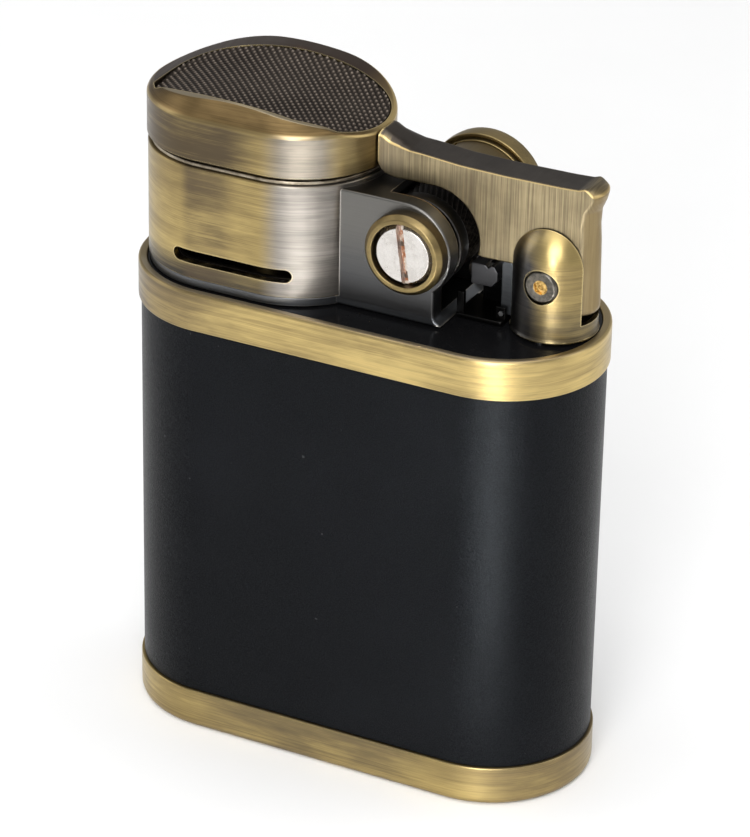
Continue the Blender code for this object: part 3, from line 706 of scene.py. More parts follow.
def build_case():
    inner = SLEEVE_R - 0.55
    profile = [(BAND_R - 1.6, BASE_BOTTOM, 0), (BAND_R, BASE_BOTTOM, 1.1), (BAND_R, BASE_TOP, 0.14),
               (inner, BASE_TOP, 0.08), (inner, 1.2, 0)]
    make("bottom_band", stadium_loft(CASE_LEFT, CASE_RIGHT, rounded(profile, False, 8)), BASE,
         "case", ["base_cup"], bevel=0.12,
         cuts=[rod(4.2, -1, 3, (FILLER.x, 0, 0), "Z", 96)])

    low, high = BASE_TOP + 0.03, BAND_BOTTOM - 0.03
    skin = [(SLEEVE_R, low, 0.12), (SLEEVE_R, high, 0.12), (inner, high, 0.05), (inner, low, 0.05)]
    make("wrap", case_ring(skin), WRAP,
         "case", ["body_sleeve"])

    rim = [(BAND_R, BAND_BOTTOM, 0.14), (BAND_R, BAND_TOP, 0.5), (inner, BAND_TOP, 0.18),
           (inner, BAND_BOTTOM, 0.05)]
    make("upper_band", case_ring(rim), BAND,
         "case", ["top_band"])

    deck_r = inner - 0.03
    deck = [(deck_r - 1.0, DECK_TOP - 0.9, 0), (deck_r, DECK_TOP - 0.9, 0.1),
            (deck_r, DECK_TOP + 0.06, 0.12), (deck_r - 0.35, DECK_TOP, 0.1),
            (deck_r - 1.2, DECK_TOP, 0)]
    radius, centre = round_node("wick_tube")[2:]
    make("deck", case_ring(deck, False), ENAMEL, "case", ["deck_plate"],
         bevel=0.05, cuts=[rod(radius + 0.1, 40, 45, centre, "Z")])


def build_filler():
    low, high, radius, _ = round_node("filler_plug")
    profile = [(0.4, low.z, 0), (radius, low.z, 0.35), (radius, low.z + 0.75, 0.1),
               (3.1, low.z + 0.75, 0.05), (3.1, high.z, 0.25), (0.4, high.z, 0)]
    slot = box((FILLER.x - 6, -0.45, low.z - 1), (FILLER.x + 6, 0.45, low.z + 0.5))
    make("filler_screw", lathe(profile, (FILLER.x, 0, 0), "Z", False), INNER_BRASS,
         "filler", ["filler_plug"], bevel=0.06, cuts=[slot])


# ---------------------------------------------------------------- chimney and wick

def air_slots():
    """Cutters for the round-ended slot in the chimney's front and back."""
    left, right, level, half = -15.2, -3.9, 46.15, 0.6
    outline = arc(right - half, level, half, -90, 90, 16)
    outline += arc(left + half, level, half, 90, 270, 16)
    return [side_plate(outline, side * 4.6, side * 9.5) for side in (-1, 1)]


def build_chimney():
    inner = CHIM_R - 0.7
    wall = [(CHIM_R, CHIM_BOTTOM - 0.1, 0.08), (CHIM_R, CHIM_TOP, 0.16), (inner, CHIM_TOP, 0.1),
            (inner, CHIM_BOTTOM - 0.1, 0.05)]
    make("chimney_wall", case_ring(wall, True, (CHIM_LEFT, CHIM_RIGHT)), CHIMNEY,
         "case", ["chimney"], bevel=0.1, cuts=air_slots())
    inner = LINER_R - 0.4
    lip = CHIM_TOP + 0.03
    liner = [(LINER_R, LINER_BOTTOM, 0.05), (LINER_R, lip, 0), (CHIM_R - 0.28, lip, 0.08),
             (CHIM_R - 0.3, LINER_TOP - 0.12, 0.14), (LINER_R, LINER_TOP, 0.1),
             (inner, LINER_TOP, 0.14), (inner, LINER_BOTTOM, 0.05)]
    make("wind_liner", case_ring(liner, True, (LINER_LEFT, LINER_RIGHT)), SOOTED,
         "case", ["chimney_liner"], bevel=0.05, cuts=air_slots())


def build_wick():
    low, high, radius, centre = round_node("wick_tube")
    profile = [(radius, low.z, 0.1), (radius, high.z - 1.2, 0), (radius - 0.15, high.z, 0.12),
               (radius - 0.5, high.z, 0.1), (radius - 0.5, low.z, 0.1)]
    make("wick_sleeve", lathe(profile, centre, "Z"), INNER_BRASS,
         "case", ["wick_tube"])

    low, high = span("wick")
    rings = []
    levels = 90
    for k in range(levels + 1):
        z = low.z + (high.z - low.z) * k / levels
        taper = 1.0 if k < levels - 3 else 1.0 - 0.12 * (k - levels + 3)
        ring = []
        for m in range(48):
            angle = 2 * math.pi * m / 48
            braid = abs(math.sin(4 * angle + z * 2.4)) + abs(math.sin(4 * angle - z * 2.4))
            radius = (1.34 + 0.08 * braid) * taper
            ring.append((centre[0] + radius * math.cos(angle), radius * math.sin(angle), z))
        rings.append(ring)
    make("braided_wick", loft(rings), COTTON, "case", ["wick"])


# ---------------------------------------------------------------- cap

CAP_MID = -10.9
ARCH_R = 28.5
FACET_EDGE_Z, FACET_SLOPE = 59.0, 0.75
LEAN, LEAN_X = 0.55, -11.5
LEAF_PEAK = -8.2
KNURL_X, KNURL_Y = 0.7, 0.74            # pitch of the knurl's bumps
PANEL_DROP = 0.5                        # the panel's surface below the arch


def arch_z(x, y):
    """The arched top, leaning a little towards the front."""
    lean = LEAN * max(1 - ((x - LEAN_X) / 9.5) ** 2, 0.0)
    return CAP_CROWN - (x - CAP_MID) ** 2 / (2 * ARCH_R) - lean * min(max((6.5 - y) / 13, 0), 1)


def facet_z(x, y):
    """The slope cut along the front of the cap's edge."""
    beyond = max(CAP_LEFT - x, x - CAP_RIGHT, 0.0)
    inside = CAP_R - math.hypot(beyond, y)
    return FACET_EDGE_Z + FACET_SLOPE * inside + 0.6 * max(y + 0.5, 0.0)


def cap_top(x, y, blend=0.08):
    """The lower of arch and facet, blended over a narrow crease."""
    a, b = arch_z(x, y), facet_z(x, y)
    h = max(0.0, min(1.0, 0.5 + 0.5 * (a - b) / blend))
    return a * (1 - h) + b * h - blend * h * (1 - h)


def end_round(x, radius):
    beyond = max(CAP_LEFT - x, x - CAP_RIGHT, 0.0)
    return math.sqrt(max(radius ** 2 - beyond ** 2, 0.0))


def leaf(inset, steps=150):
    """Front and back edge of the inlaid panel, and the x values between its ends."""
    left, right = 11.0 - inset, 8.95 - inset

    def front(x):
        bowed = -6.0 + 0.0115 * min(x - LEAF_PEAK, 0.0) ** 2
        rising = -6.3 + 0.32 * (x + 5.6)
        end = -end_round(x, (7.4 if x < LEAF_PEAK else 7.6) - inset)
        return max(bowed + inset, rising + inset, end)

    def back(x):
        along = (x - LEAF_PEAK) / (left if x < LEAF_PEAK else right)
        rest = max(1 - abs(along) ** 2.2, 0.0) ** 0.171
        return max(-6.0 + (12 - inset) * rest, front(x) + 0.02)

    low, high = LEAF_PEAK - left + 0.005, LEAF_PEAK + right - 0.1
    middle, half = (low + high) / 2, (high - low) / 2
    xs = [middle - half * math.cos(math.pi * k / steps) for k in range(steps + 1)]
    return xs, front, back


def leaf_solid(inset, depth, height):
    xs, front, back = leaf(inset)
    rings = []
    for x in xs:
        y0, y1 = front(x), back(x)
        z0, z1 = arch_z(x, y0), arch_z(x, y1)
        rings.append([(x, y0, z0 - depth), (x, y1, z1 - depth), (x, y1, z1 + height),
                      (x, y0, z0 + height)])
    return loft(rings)


def cap_outline(inset, side_steps=10):
    """The cap's plan, inset, with points along its straight sides too."""
    radius = CAP_R - inset
    right = arc(CAP_RIGHT, 0, radius, -90, 90, STEPS)
    left = arc(CAP_LEFT, 0, radius, 90, 270, STEPS)
    width = CAP_RIGHT - CAP_LEFT
    back = [(CAP_RIGHT - width * k / side_steps, radius) for k in range(1, side_steps)]
    front = [(CAP_LEFT + width * k / side_steps, -radius) for k in range(1, side_steps)]
    return right + back + left + front


def cap_body():
    rings = [[(x, y, CAP_BOTTOM + 0.12 - inset) for x, y in cap_outline(inset)]
             for inset in (0.12, 0.0)]
    edge = 0.32
    for k in range(9):
        angle = math.radians(90 * k / 8)
        inset, drop = edge * (1 - math.cos(angle)), edge * (1 - math.sin(angle))
        rings.append([(x, y, cap_top(x, y) - drop) for x, y in cap_outline(inset)])
    inset = edge
    while inset < CAP_R - 0.05:
        inset = min(inset + (0.12 if inset < 4.2 else 0.5), CAP_R)
        rings.append([(x, y, cap_top(x, y)) for x, y in cap_outline(inset)])
    return loft(rings)


def hollow():
    """Cutter for the inside of the cap."""
    return loft([[(x, y, z) for x, y in cap_outline(inset)]
                 for z, inset in ((CAP_BOTTOM - 1, 0.9), (57.2, 0.9), (57.8, 1.6))])


def knurl(x, y):
    """Round bumps in rows along x, each row shifted by half a step, 0 to 1."""
    u, v = x / KNURL_X + y / KNURL_Y, x / KNURL_X - y / KNURL_Y
    crossed = (0.5 + 0.5 * math.cos(2 * math.pi * u)) * (0.5 + 0.5 * math.cos(2 * math.pi * v))
    return crossed ** 0.62


def panel_z(x, y, behind):
    """The panel is dished: it climbs to the top's level at its back edge."""
    climb = max(1 - behind / 3.4, 0.0) ** 2
    return arch_z(x, y) - PANEL_DROP + 0.36 * climb + 0.014 * max(behind - 6, 0)


def panel_mesh(height=0.17):
    """The knurled inlay: a bumpy sheet with a skirt and a flat underside."""
    xs, front, back = leaf(0.06)
    rows, columns = 180, 320
    low, high = xs[0], xs[-1]
    middle, half = (low + high) / 2, (high - low) / 2
    points, crests = [], []
    for i in range(columns + 1):
        x = middle - half * math.cos(math.pi * (0.02 + 0.96 * i / columns))
        y0, y1 = front(x), back(x)
        for j in range(rows + 1):
            y = y0 + (y1 - y0) * j / rows
            bump = knurl(x, y)
            points.append(Vector((x, y, panel_z(x, y, y1 - y) + height * bump)))
            crests.append(bump)
    faces = []
    width = rows + 1
    for i in range(columns):
        for j in range(rows):
            a = i * width + j
            faces.append((a, a + width, a + width + 1, a + 1))
    border = list(range(width))
    border += [i * width + rows for i in range(1, columns + 1)]
    border += [columns * width + j for j in range(rows - 1, -1, -1)]
    border += [i * width for i in range(columns - 1, 0, -1)]
    start = len(points)
    for index in border:
        point = points[index]
        points.append(Vector((point.x, point.y, arch_z(point.x, point.y) - 0.85)))
        crests.append(0.0)
    count = len(border)
    for k in range(count):
        n = (k + 1) % count
        faces.append((border[k], border[n], start + n, start + k))
    faces.append(tuple(range(start, start + count)))
    mesh = bpy.data.meshes.new("knurled_inlay")
    mesh.from_pydata([point * MM for point in points], [], faces)
    attribute = mesh.attributes.new("crest", "FLOAT", "POINT")
    attribute.data.foreach_set("value", crests)
    bm = bmesh.new()
    bm.from_mesh(mesh)
    bmesh.ops.recalc_face_normals(bm, faces=bm.faces)
    bm.to_mesh(mesh)
    bm.free()
    return place("knurled_inlay", mesh)


def build_cap():
    recess = leaf_solid(-0.06, 0.95, 1.0)
    tongue = box((-1.6, -1.35, 56.05), (1.6, 1.35, 57.55))
    make("cap", cap_body(), CAP, "arm", ["cap_shell"], bevel=0.05,
         cuts=[hollow(), recess, tongue])
    finish_piece(panel_mesh(), panel_material((0.2, 0.165, 0.135)), "arm",
                 ["cap_panel"], sharp=80)

    low, high, radius, centre = round_node("snuffer_cup")
    profile = [(radius, low.z, 0.15), (radius, 57.8, 0.4), (1.2, 57.8, 0.2), (1.2, high.z, 0.1),
               (0.3, high.z, 0), (0.3, 57.2, 0), (radius - 0.6, 57.2, 0.2),
               (radius - 0.6, low.z, 0.15)]
    make("snuffer", lathe(profile, centre, "Z"), INNER_BRASS,
         "arm", ["snuffer_cup"])


# ---------------------------------------------------------------- frame and striker

def build_frame():
    low, high = span("top_frame")
    ear = 5.0
    cx, cz, radius = 5.3, 49.7, 4.4
    start = math.degrees(math.asin((46.43 - cz) / radius))
    outline = [(-3.5, low.z), (8.9, low.z), (8.75, 43.55), (8.45, 43.75), (8.27, 44.1)]
    outline += [(8.25, 44.9), (8.25, 46.2)]
    outline += arc(cx, cz, radius, start, 90, 48) + [(-3.5, high.z)]
    flange_r = CHIM_R - 0.12
    flange = [(flange_r - 2, low.z, 0), (flange_r, low.z, 0.05),
              (flange_r, CHIM_BOTTOM - 0.12, 0.12), (flange_r - 2, CHIM_BOTTOM - 0.12, 0)]
    clear_r = CHIM_R + 0.04
    clearance = [(clear_r, CHIM_BOTTOM - 0.1), (clear_r, high.z + 2)]
    inner = ear - 1.6
    make("striker_frame", side_plate(outline, -ear, ear, 0.22), FRAME, "case",
         ["top_frame"], bevel=0.12,
         joins=[case_ring(flange, False, (CHIM_LEFT, CHIM_RIGHT))],
         cuts=[stadium_loft(CHIM_LEFT, CHIM_RIGHT, clearance),
               box((3.3, -inner, CHIM_BOTTOM - 0.15), (14, inner, high.z + 2)),
               rod(4.3, -inner, inner, AXLE_LINE, "Y", 96),
               rod(3.25, -8, 8, AXLE_LINE, "Y", 96),
               rod(2.4, 42, 46, round_node("wick_tube")[3], "Z")])


def build_frame_screws():
    """Two slotted heads on the chimney's floor, dulled by soot."""
    for side, turn in (("left", 35), ("right", -20)):
        node = "frame_screw_" + side
        low, high, radius, centre = round_node(node)
        seat = CHIM_BOTTOM - 0.05
        profile = [(0.2, low.z, 0), (0.65, low.z, 0.1), (0.65, seat, 0), (radius, seat, 0.06),
                   (radius, high.z, 0.25), (0.2, high.z, 0)]
        slot = box((centre[0] - 2, -0.2, high.z - 0.3), (centre[0] + 2, 0.2, high.z + 1))
        make("frame_bolt_" + side, lathe(profile, centre, "Z", False), SOOTY_STEEL,
             "case", [node], bevel=0.03, cuts=[spun(slot, centre, turn, "Z")])


def build_bushes():
    low, high, radius, _ = round_node("front_bush")
    front = [(2.85, low.y, 0.12), (3.25, low.y, 0.2), (radius, low.y + 0.42, 0.25),
             (radius, -EAR_FACE, 0.06), (EAR_BORE, -EAR_FACE, 0), (EAR_BORE, high.y, 0),
             (AXLE_BORE, high.y, 0), (AXLE_BORE, -4.5, 0), (2.85, -4.5, 0.05)]
    make("boss_ring", lathe(front, AXLE_LINE, steps=128), BOSS, "case",
         ["front_bush"])
    low, high, radius, _ = round_node("rear_bush")
    drum, top = radius + 0.15, high.y - 0.08
    rear = [(AXLE_BORE, low.y, 0), (EAR_BORE, low.y, 0), (EAR_BORE, EAR_FACE, 0),
            (drum, EAR_FACE, 0.06), (drum, top, 0.12), (AXLE_BORE, top, 0.05)]
    slot = box((AXLE.x - 5, 7.7, AXLE.z - 0.2), (AXLE.x + 5, 9, AXLE.z + 0.2))
    make("rear_nut", lathe(rear, AXLE_LINE, steps=128), DRUM, "case",
         ["rear_bush"], bevel=0.05, cuts=[spun(slot, AXLE_LINE, 62)])


def build_axle_screw():
    low, high, radius, _ = round_node("axle_screw")
    profile = [(0.3, low.y, 0), (2.42, low.y, 0.1), (radius, low.y + 0.42, 0.12),
               (radius, -4.8, 0.05), (1.3, -4.8, 0), (1.3, high.y - 0.15, 0.1),
               (0.3, high.y, 0)]
    slot = box((AXLE.x - 0.33, low.y - 1, AXLE.z - 4), (AXLE.x + 0.33, low.y + 0.62, AXLE.z + 4))
    make("slotted_screw", lathe(profile, AXLE_LINE, "Y", False, 128), NICKEL,
         "striker", ["axle_screw"], bevel=0.05,
         cuts=[spun(slot, AXLE_LINE, -SLOT_TILT)])


def build_striker():
    low, high, radius, _ = round_node("flint_wheel")
    teeth, slices = 44, 12
    rings = []
    for k in range(slices + 1):
        y = low.y + (high.y - low.y) * k / slices
        lean = 0.9 * (k / slices - 0.5) * 2 * math.pi / teeth * 3
        ring = []
        for m in range(teeth * 4):
            angle = 2 * math.pi * m / (teeth * 4)
            r = radius - (0.02, 0.16, 0.32, 0.16)[m % 4]
            ring.append((AXLE.x + r * math.cos(angle + lean), y,
                         AXLE.z + r * math.sin(angle + lean)))
        rings.append(ring)
    for y in (high.y, low.y):
        rings.append([(AXLE.x + x, y, AXLE.z + z)
                      for x, z in arc(0, 0, AXLE_BORE, 0, 360, teeth * 4)[:-1]])
    make("striker_wheel", loft(rings, True), STRIKER, "striker", ["flint_wheel"],
         sharp=30)
    for name, node in (("front_cheek", "wheel_cheek_front"), ("rear_cheek", "wheel_cheek_rear")):
        low, high, r, _ = round_node(node)
        profile = [(AXLE_BORE, low.y, 0), (r, low.y, 0.18), (r, high.y, 0.18),
                   (AXLE_BORE, high.y, 0)]
        make(name, lathe(profile, AXLE_LINE, steps=128), CHEEK, "striker",
             [node])

    low, high, r, _ = round_node("thumb_wheel")
    rim = [(AXLE_BORE, low.y - 0.35, 0), (4.78, low.y - 0.35, 0.1), (4.72, low.y + 0.5, 0.03),
           (4.92, low.y + 0.5, 0.03), (5.0, low.y, 0.08), (r, low.y, 0.12), (r, low.y + 1.1, 0),
           (r - 0.12, high.y, 0.45), (4.1, high.y, 0.15), (3.85, high.y - 0.5, 0.1),
           (AXLE_BORE, high.y - 0.5, 0)]
    make("side_wheel", lathe(rim, AXLE_LINE, steps=160), WHEEL_BRASS,
         "striker", ["thumb_wheel"])
    low, high, r, _ = round_node("thumb_wheel_cap")
    cover = [(0.2, low.y - 0.1, 0), (r, low.y - 0.1, 0.05), (r, high.y - 0.1, 0.12),
             (r - 0.4, high.y, 0.2), (0.2, high.y, 0)]
    make("side_wheel_cover", lathe(cover, AXLE_LINE, "Y", False),
         BOSS, "striker", ["thumb_wheel_cap"])


# ---------------------------------------------------------------- post and arm

def build_post():
    low, _, _, centre = round_node("arm_post")
    radius, dome_z = 3.7, 49.8
    profile = [(radius - 1, low.z), (radius + 0.08, low.z), (radius + 0.1, low.z + 0.1),
               (radius + 0.04, low.z + 0.22), (radius, low.z + 0.4)]
    profile += arc(0, dome_z, radius, 0, 88, 40)
    slot = 1.8
    well = radius - 0.4
    reach = math.degrees(math.asin(slot / well))
    well_plan = arc(centre[0], 0, well, -reach, reach, 24) + [(11, slot), (11, -slot)]
    make("post", turned(profile, centre, "Z", 160), POST, "case", ["arm_post"],
         bevel=0.08,
         cuts=[box((12, -slot, 44.9), (23, slot, 60)),
               floor_plate(well_plan, 43.6, 45.4),
               rod(1.15, -6, 6, PIVOT_LINE, "Y"),
               rod(1.54, -6, -3.12, PIVOT_LINE, "Y", 96)])

    head = [(0.2, -3.35, 0), (0.28, -3.5, 0.05), (0.5, -3.58, 0.1), (1.3, -3.66, 0.2),
            (1.48, -3.45, 0.1), (1.48, -3.16, 0.04), (0.95, -3.16, 0), (0.95, 3.5, 0.15),
            (0.2, 3.5, 0)]
    star = []
    for k in range(12):
        r = 0.68 if k % 2 else 0.5
        angle = math.radians(30 * k + 10)
        star.append((PIVOT.x + r * math.cos(angle), PIVOT.z + r * math.sin(angle), 0.12))
    socket = side_plate(rounded(star, steps=4), -5, -3.42)
    make("pivot_pin", lathe(head, PIVOT_LINE, "Y", False), PIVOT_METAL,
         "case", ["pivot_screw"], bevel=0.03, cuts=[socket])


LEG_START = 19.6                        # x from which the arm follows the round post


def arm_outline():
    points = [(0.4, 58.75, 0), (1.56, 58.47, 0.3), (2.22, 58.1, 0.6), (3.17, 57.75, 1.0),
              (4.1, 57.42, 1.2), (5.1, 57.3, 1.5), (8.8, 57.0, 5.0), (13.0, 56.93, 5.0),
              (18.0, 57.0, 4.0), (19.6, 57.08, 1.5), (20.7, 57.3, 0.8), (21.55, 56.6, 0.7),
              (21.4, 55.9, 0.8), (21.05, 55.0, 0.9), (20.98, 53.6, 1.5), (21.08, 52.2, 2.0),
              (21.25, 45.45, 0.9), (18.75, 45.45, 0.2)]
    hub = arc(PIVOT.x, PIVOT.z, 2.4, -62, -195, 20)
    wheel = arc(6.39, 50.19, 4.39, -13, 90, 36)
    outline = rounded(points + [(*hub[0], 0)], False, 8)
    outline = outline[:-1] + hub
    outline += rounded([(*hub[-1], 0), (13.2, 49.05, 0.2), (11.0, 49.0, 0.25), (*wheel[0], 0)],
                       False)[1:-1]
    outline += wheel
    foot = [(3.0, 54.52, 0.3), (2.3, 54.6, 0.4), (1.75, 54.75, 0.4), (1.35, 55.1, 0.4),
            (1.1, 55.6, 0.4), (0.4, 56.4, 0)]
    outline += rounded([(*wheel[-1], 0)] + foot, False)[1:]
    return outline


def worn_drop(x, y, half):
    """How far the top edges are rounded down where the arm meets the cap."""
    size = 0.45 * min(max((4.7 - x) / 2.5, 0.0), 1.0)
    return size * max((abs(y) - 0.7) / (half - 0.7), 0.0) ** 2


def arm_body(half=1.65, bevel=0.16):
    """The arm's side outline, bulging where its leg and lip follow the round post."""
    outline = arm_outline()
    levels = []
    edges = bevel_levels(-half, half, bevel, 5)
    middle = len(edges) // 2
    for k, (inset, y) in enumerate(edges):
        levels.append((inset, y))
        if k == middle - 1:
            for step in range(1, 12):
                levels.append((0.0, -half + bevel + (half - bevel) * 2 * step / 12))
    rings = []
    for inset, y in levels:
        ring = []
        for x, z in offset(outline, inset):
            near = min(max((x - LEG_START) / 1.2, 0.0), 1.0)
            lift = min(max((z - 54.5) / 2.0, 0.0), 1.0)
            depth = 0.92 * (1 - lift) + 0.45 * lift
            bulge = depth * (y / half) ** 2 * near * near * (3 - 2 * near)
            drop = worn_drop(x, y, half) * min(max((z - 56.6) / 0.6, 0.0), 1.0)
            ring.append((x - bulge, y, z - drop))
        rings.append(ring)
    return loft(rings)


def build_arm():
    low, high = span("lift_arm")
    arm = to_object("lever_arm", arm_body())
    clear = CAP_R + 0.15
    combine(arm, stadium_loft(CAP_LEFT, CAP_RIGHT, [(clear, 50), (clear, 62)]))
    combine(arm, box((low.x, -1.2, 56.2), (2.0, 1.2, 57.4)), "UNION")
    for cutter in (rod(1.1, -3, 3, PIVOT_LINE, "Y"),
                   rod(2.7, 0.95, 3, PIVOT_LINE, "Y", 96),
                   rod(0.7, 55.5, 58, (-2.8, 0, 0), "Z")):
        combine(arm, cutter)
    finish_piece(arm, ARM_METAL, "arm", ["lift_arm"], 0.04)


def arm_material():
    """Upright brushing on the sides, a grey-brown top that is painted reflection, painted gold
    highlights on the rounded edges and the right end, bright rubbed edges.
    """
    g = Graph("arm_metal")
    streak = g.noise((9500, 400, 150), 3.0, 0.62)
    broad = g.noise((2600, 200, 90), 3.0, 0.6)
    clouds = g.noise(170, 4.0, 0.6)
    tone = g.plus(g.times(streak, 0.55), g.times(broad, 0.25))
    tone = g.plus(tone, g.times(clouds, 0.45))
    side = g.fade(tone, (0.15, 0.12, 0.075), (0.46, 0.375, 0.22), 0.42, 0.86)
    low = g.along("Z", 51.5, 56.0, 0.15, 0.0)
    side = g.mix(low, side, (0.2, 0.16, 0.1))
    near_cap = g.along("X", 1.2, 5.0, 0.5, 0.0)
    side = g.mix(near_cap, side, (0.26, 0.22, 0.16))
    # Painted light: faces towards the right end are warmed to gold.
    end = g.facing("X", 0.45, 0.85, 0.0, 0.75)
    side = g.mix(end, side, (0.26, 0.19, 0.09))
    # Painted reflection: faces that look up are dark grey-brown, less so on the lip.
    facing = g.axis_of("Z", g.normal)
    up = g.times(g.ramp(facing, 0.6, 0.88),
                g.along("X", 19.4, 20.4, 1.0, 0.2))
    top = g.fade(clouds, (0.06, 0.05, 0.042), (0.095, 0.08, 0.066))
    colour = g.mix(up, side, top)
    # Painted highlight: gold on the rounded edges between top and sides.
    rim = g.times(g.ramp(facing, 0.15, 0.35), g.ramp(facing, 0.6, 0.8, 0.8, 0.0))
    colour = g.mix(rim, colour, (0.6, 0.44, 0.19))
    colour = g.rub(colour, 0.3, 0.95, (0.85, 0.66, 0.31))
    rough = g.plus(g.ramp(tone, 0.4, 0.9, 0.42, 0.32), g.times(up, 0.04))
    g.brush_direction((1, 0, 0))
    height = g.times(streak, g.calc("SUBTRACT", 1.0, up))
    return g.surface(colour, rough, 1.0, g.bump(height, 0.12, 0.02))


def pivot_material():
    """Dark plated head with a bare brass socket."""
    g = Graph("pivot_metal")
    grit = g.noise(3000, 3.0, 0.6)
    radius = g.flat_place(PIVOT)[1]
    plated = g.fade(grit, (0.075, 0.07, 0.062), (0.17, 0.155, 0.13))
    gold = g.fade(grit, (0.3, 0.16, 0.035), (0.8, 0.55, 0.2))
    colour = g.mix(g.ramp(radius, 0.6 * MM, 0.68 * MM), gold, plated)
    return g.surface(colour, 0.3, 1.0, g.bump(grit, 0.1, 0.01))


ARM_METAL = arm_material()
PIVOT_METAL = pivot_material()


# ---------------------------------------------------------------- flint feed

def build_flint_feed():
    low, high, width, mid = round_node("flint_lever")
    half = high.y
    outline = [(low.x, low.z), (high.x, low.z)] + arc(mid[0], high.z - width, width, 0, 180, 20)
    make("flint_bar", side_plate(outline, -half, half, 0.1), GREY_STEEL, "lever",
         ["flint_lever"], bevel=0.04,
         cuts=[rod(PIN_BORE, -3, 3, LEVER_LINE, "Y", 32)])

    low, high = span("flint_holder")
    z0, z1, x1 = low.z, high.z, high.x
    notch = [(low.x, z0, 0.05), (x1 - 0.5, z0, 0.08), (x1, z0 + 0.6, 0.08), (x1, z1 - 0.5, 0.08),
             (x1 - 0.35, z1, 0.05), (x1 - 0.65, z1, 0.05), (x1 - 0.9, z1 - 0.25, 0.03),
             (x1 - 1.2, z1, 0.05), (low.x, z1, 0.05)]
    centre_z = (z0 + z1) / 2
    make("flint_block", side_plate(rounded(notch, steps=3), low.y, high.y, 0.08), FLINT_METAL,
         "lever", ["flint_holder"], bevel=0.03,
         cuts=[rod(0.9, low.x - 1, x1 - 0.65, (0, 0, centre_z), "X")])

    low, high = span("flint_bracket")
    uprights = [((12.4, -1.5), (13.35, -1.05, 44.75)), ((12.4, 1.05), (13.35, 1.5, 44.75)),
                ((9.8, 1.5), (12.1, 2.0, 47.9)), ((9.05, -2.1), (9.75, -1.65, 45.7))]
    pieces = [box((*near, BRACKET_Z), far, 0.12, 0.06) for near, far in uprights]
    make("flint_base", box((low.x, low.y, low.z), (high.x, high.y, 43.7), 0.3, 0.08),
         BLACKENED, "case", ["flint_bracket"], bevel=0.03, joins=pieces,
         cuts=[rod(PIN_BORE, -3, 1.48, LEVER_LINE, "Y", 32)])


def coil(name, radius, wire, turns, start, end, centre, axis, body, node):
    """A wound wire spring as a swept tube."""
    curve = bpy.data.curves.new(name, "CURVE")
    curve.dimensions = "3D"
    curve.bevel_depth = wire * MM / 2
    curve.bevel_resolution = 4
    curve.use_fill_caps = True
    steps = int(turns * 28)
    spline = curve.splines.new("POLY")
    spline.points.add(steps)
    for k in range(steps + 1):
        angle = 2 * math.pi * turns * k / steps
        along = start + (end - start) * k / steps
        u, v = radius * math.cos(angle), radius * math.sin(angle)
        shift = {"X": (along, u, v), "Y": (u, along, v)}[axis]
        point = [(c + s) * MM for c, s in zip(centre, shift)]
        spline.points[k].co = (*point, 1.0)
    obj = place(name, curve)
    curve.materials.append(STEEL)
    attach(obj, body)
    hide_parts(node)


def build_springs():
    coil("return_spring", 1.8, 0.26, 1.9, 1.2, 1.46, PIVOT_LINE, "Y", "case", "arm_spring")
    low, high = span("flint_spring")
    coil("feed_spring", 0.56, 0.16, 3, low.x + 0.1, high.x - 0.1,
         (0, 0, (low.z + high.z) / 2), "X", "lever", "flint_spring")


def paint_packed_nodes():
    """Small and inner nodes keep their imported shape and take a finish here."""
    finishes = {
        "tank_shell": STEEL, "fuel_wadding": COTTON, "filler_gasket": RUBBER,
        "snuffer_seal": RUBBER, "cap_screw": STEEL, "lever_pin": STEEL, "flint": STRIKER,
        "post_screw_front": STEEL, "post_screw_rear": STEEL,
    }
    for node, material in finishes.items():
        mesh = frame["nodes"][node].data
        mesh.materials.clear()
        mesh.materials.append(material)


# ---------------------------------------------------------------- studio

def build_floor():
    bpy.ops.mesh.primitive_plane_add(size=6, location=(0, 0, 0))
    floor = bpy.context.object
    floor.name = "studio_floor"
    g = Graph("studio_floor")
    paper = g.noise(40, 3.0, 0.5)
    floor.data.materials.append(
        g.surface(g.fade(paper, (0.895, 0.895, 0.895), (0.905, 0.905, 0.905)), 0.6,
                  0.0))


def towards(a, e):
    """Direction at azimuth a and elevation e; azimuth 0 is in front, positive to the right."""
    return Vector((math.sin(a) * math.cos(e), -math.cos(a) * math.cos(e), math.sin(e)))


def area_light(name, azimuth, elevation, distance, size, power):
    """A soft panel aimed at the lighter."""
    light = bpy.data.lights.new(name, "AREA")
    light.shape = "RECTANGLE"
    light.size, light.size_y = size
    light.energy = power
    obj = place(name, light)
    direction = towards(math.radians(azimuth), math.radians(elevation))
    target = Vector((0, 0, 0.032))
    obj.location = target + direction * distance
    obj.rotation_euler = direction.to_track_quat("Z", "Y").to_euler()


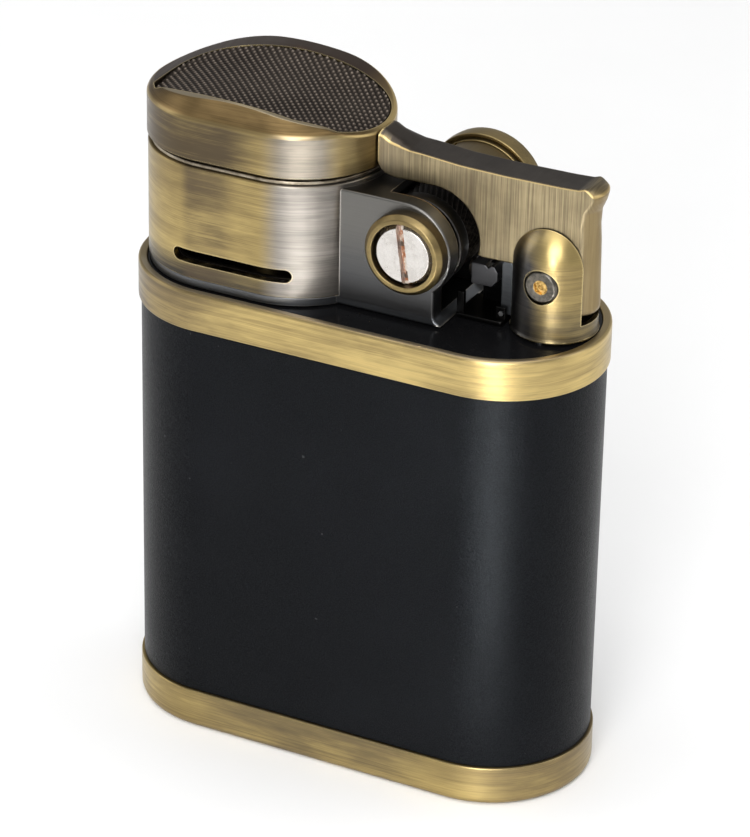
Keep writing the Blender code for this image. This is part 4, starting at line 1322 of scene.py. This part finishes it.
def front_pool():
    """Extra light on the floor in front, which the upright metal faces mirror."""
    for reach, turn, energy, cone in ((0.024, 22, 3.0, 11), (0.055, 22, 36.0, 12),
                                      (0.076, 17, 11.5, 14), (0.106, 17, 0.5, 14)):
        light = bpy.data.lights.new("front_pool", "SPOT")
        light.energy = energy
        light.spot_size = math.radians(cone)
        light.spot_blend = 0.8
        light.shadow_soft_size = 0.006
        obj = place("front_pool", light)
        azimuth = math.radians(turn)
        obj.location = (0.014 + reach * math.sin(azimuth), -0.009 - reach * math.cos(azimuth), 0.18)


def build_world():
    world = bpy.data.worlds.new("studio")
    bpy.context.scene.world = world
    world.use_nodes = True
    background = world.node_tree.nodes["Background"]
    background.inputs["Color"].default_value = (1.0, 1.0, 1.0, 1.0)
    background.inputs["Strength"].default_value = 0.42


def build_camera():
    """The viewpoint: right of the front, a little above, with a long lens."""
    azimuth, elevation, roll = math.radians(26.479), math.radians(27.423), math.radians(1.133)
    back = towards(azimuth, elevation)
    level = Vector((math.cos(azimuth), math.sin(azimuth), 0))
    upward = back.cross(level)
    right = level * math.cos(roll) + upward * math.sin(roll)
    up = upward * math.cos(roll) - level * math.sin(roll)
    camera = bpy.data.cameras.new("camera")
    camera.lens = 177.46
    camera.sensor_width = 36.0
    obj = place("camera", camera)
    turn = Matrix((right, up, back)).transposed().to_4x4()
    target = Vector((0.0005245, 0, 0.030404))
    obj.matrix_world = Matrix.Translation(target + back * 0.36054) @ turn
    bpy.context.scene.camera = obj


bpy.context.scene.view_settings.view_transform = "Standard"
build_camera()
build_world()
build_floor()
area_light("key", 18, 38, 0.9, (0.5, 0.5), 5.0)
area_light("front_strip", 15, 9, 0.6, (0.11, 0.28), 1.1)
area_light("left_fill", -75, 25, 0.9, (0.5, 0.7), 1.4)
area_light("right_rim", 110, 30, 0.9, (0.4, 0.8), 1.2)
area_light("top", 0, 88, 0.9, (0.9, 0.9), 4.0)
front_pool()

build_case()
build_filler()
build_chimney()
build_wick()
build_cap()
build_frame()
build_frame_screws()
build_bushes()
build_axle_screw()
build_striker()
build_post()
build_arm()
build_flint_feed()
build_springs()
paint_packed_nodes()
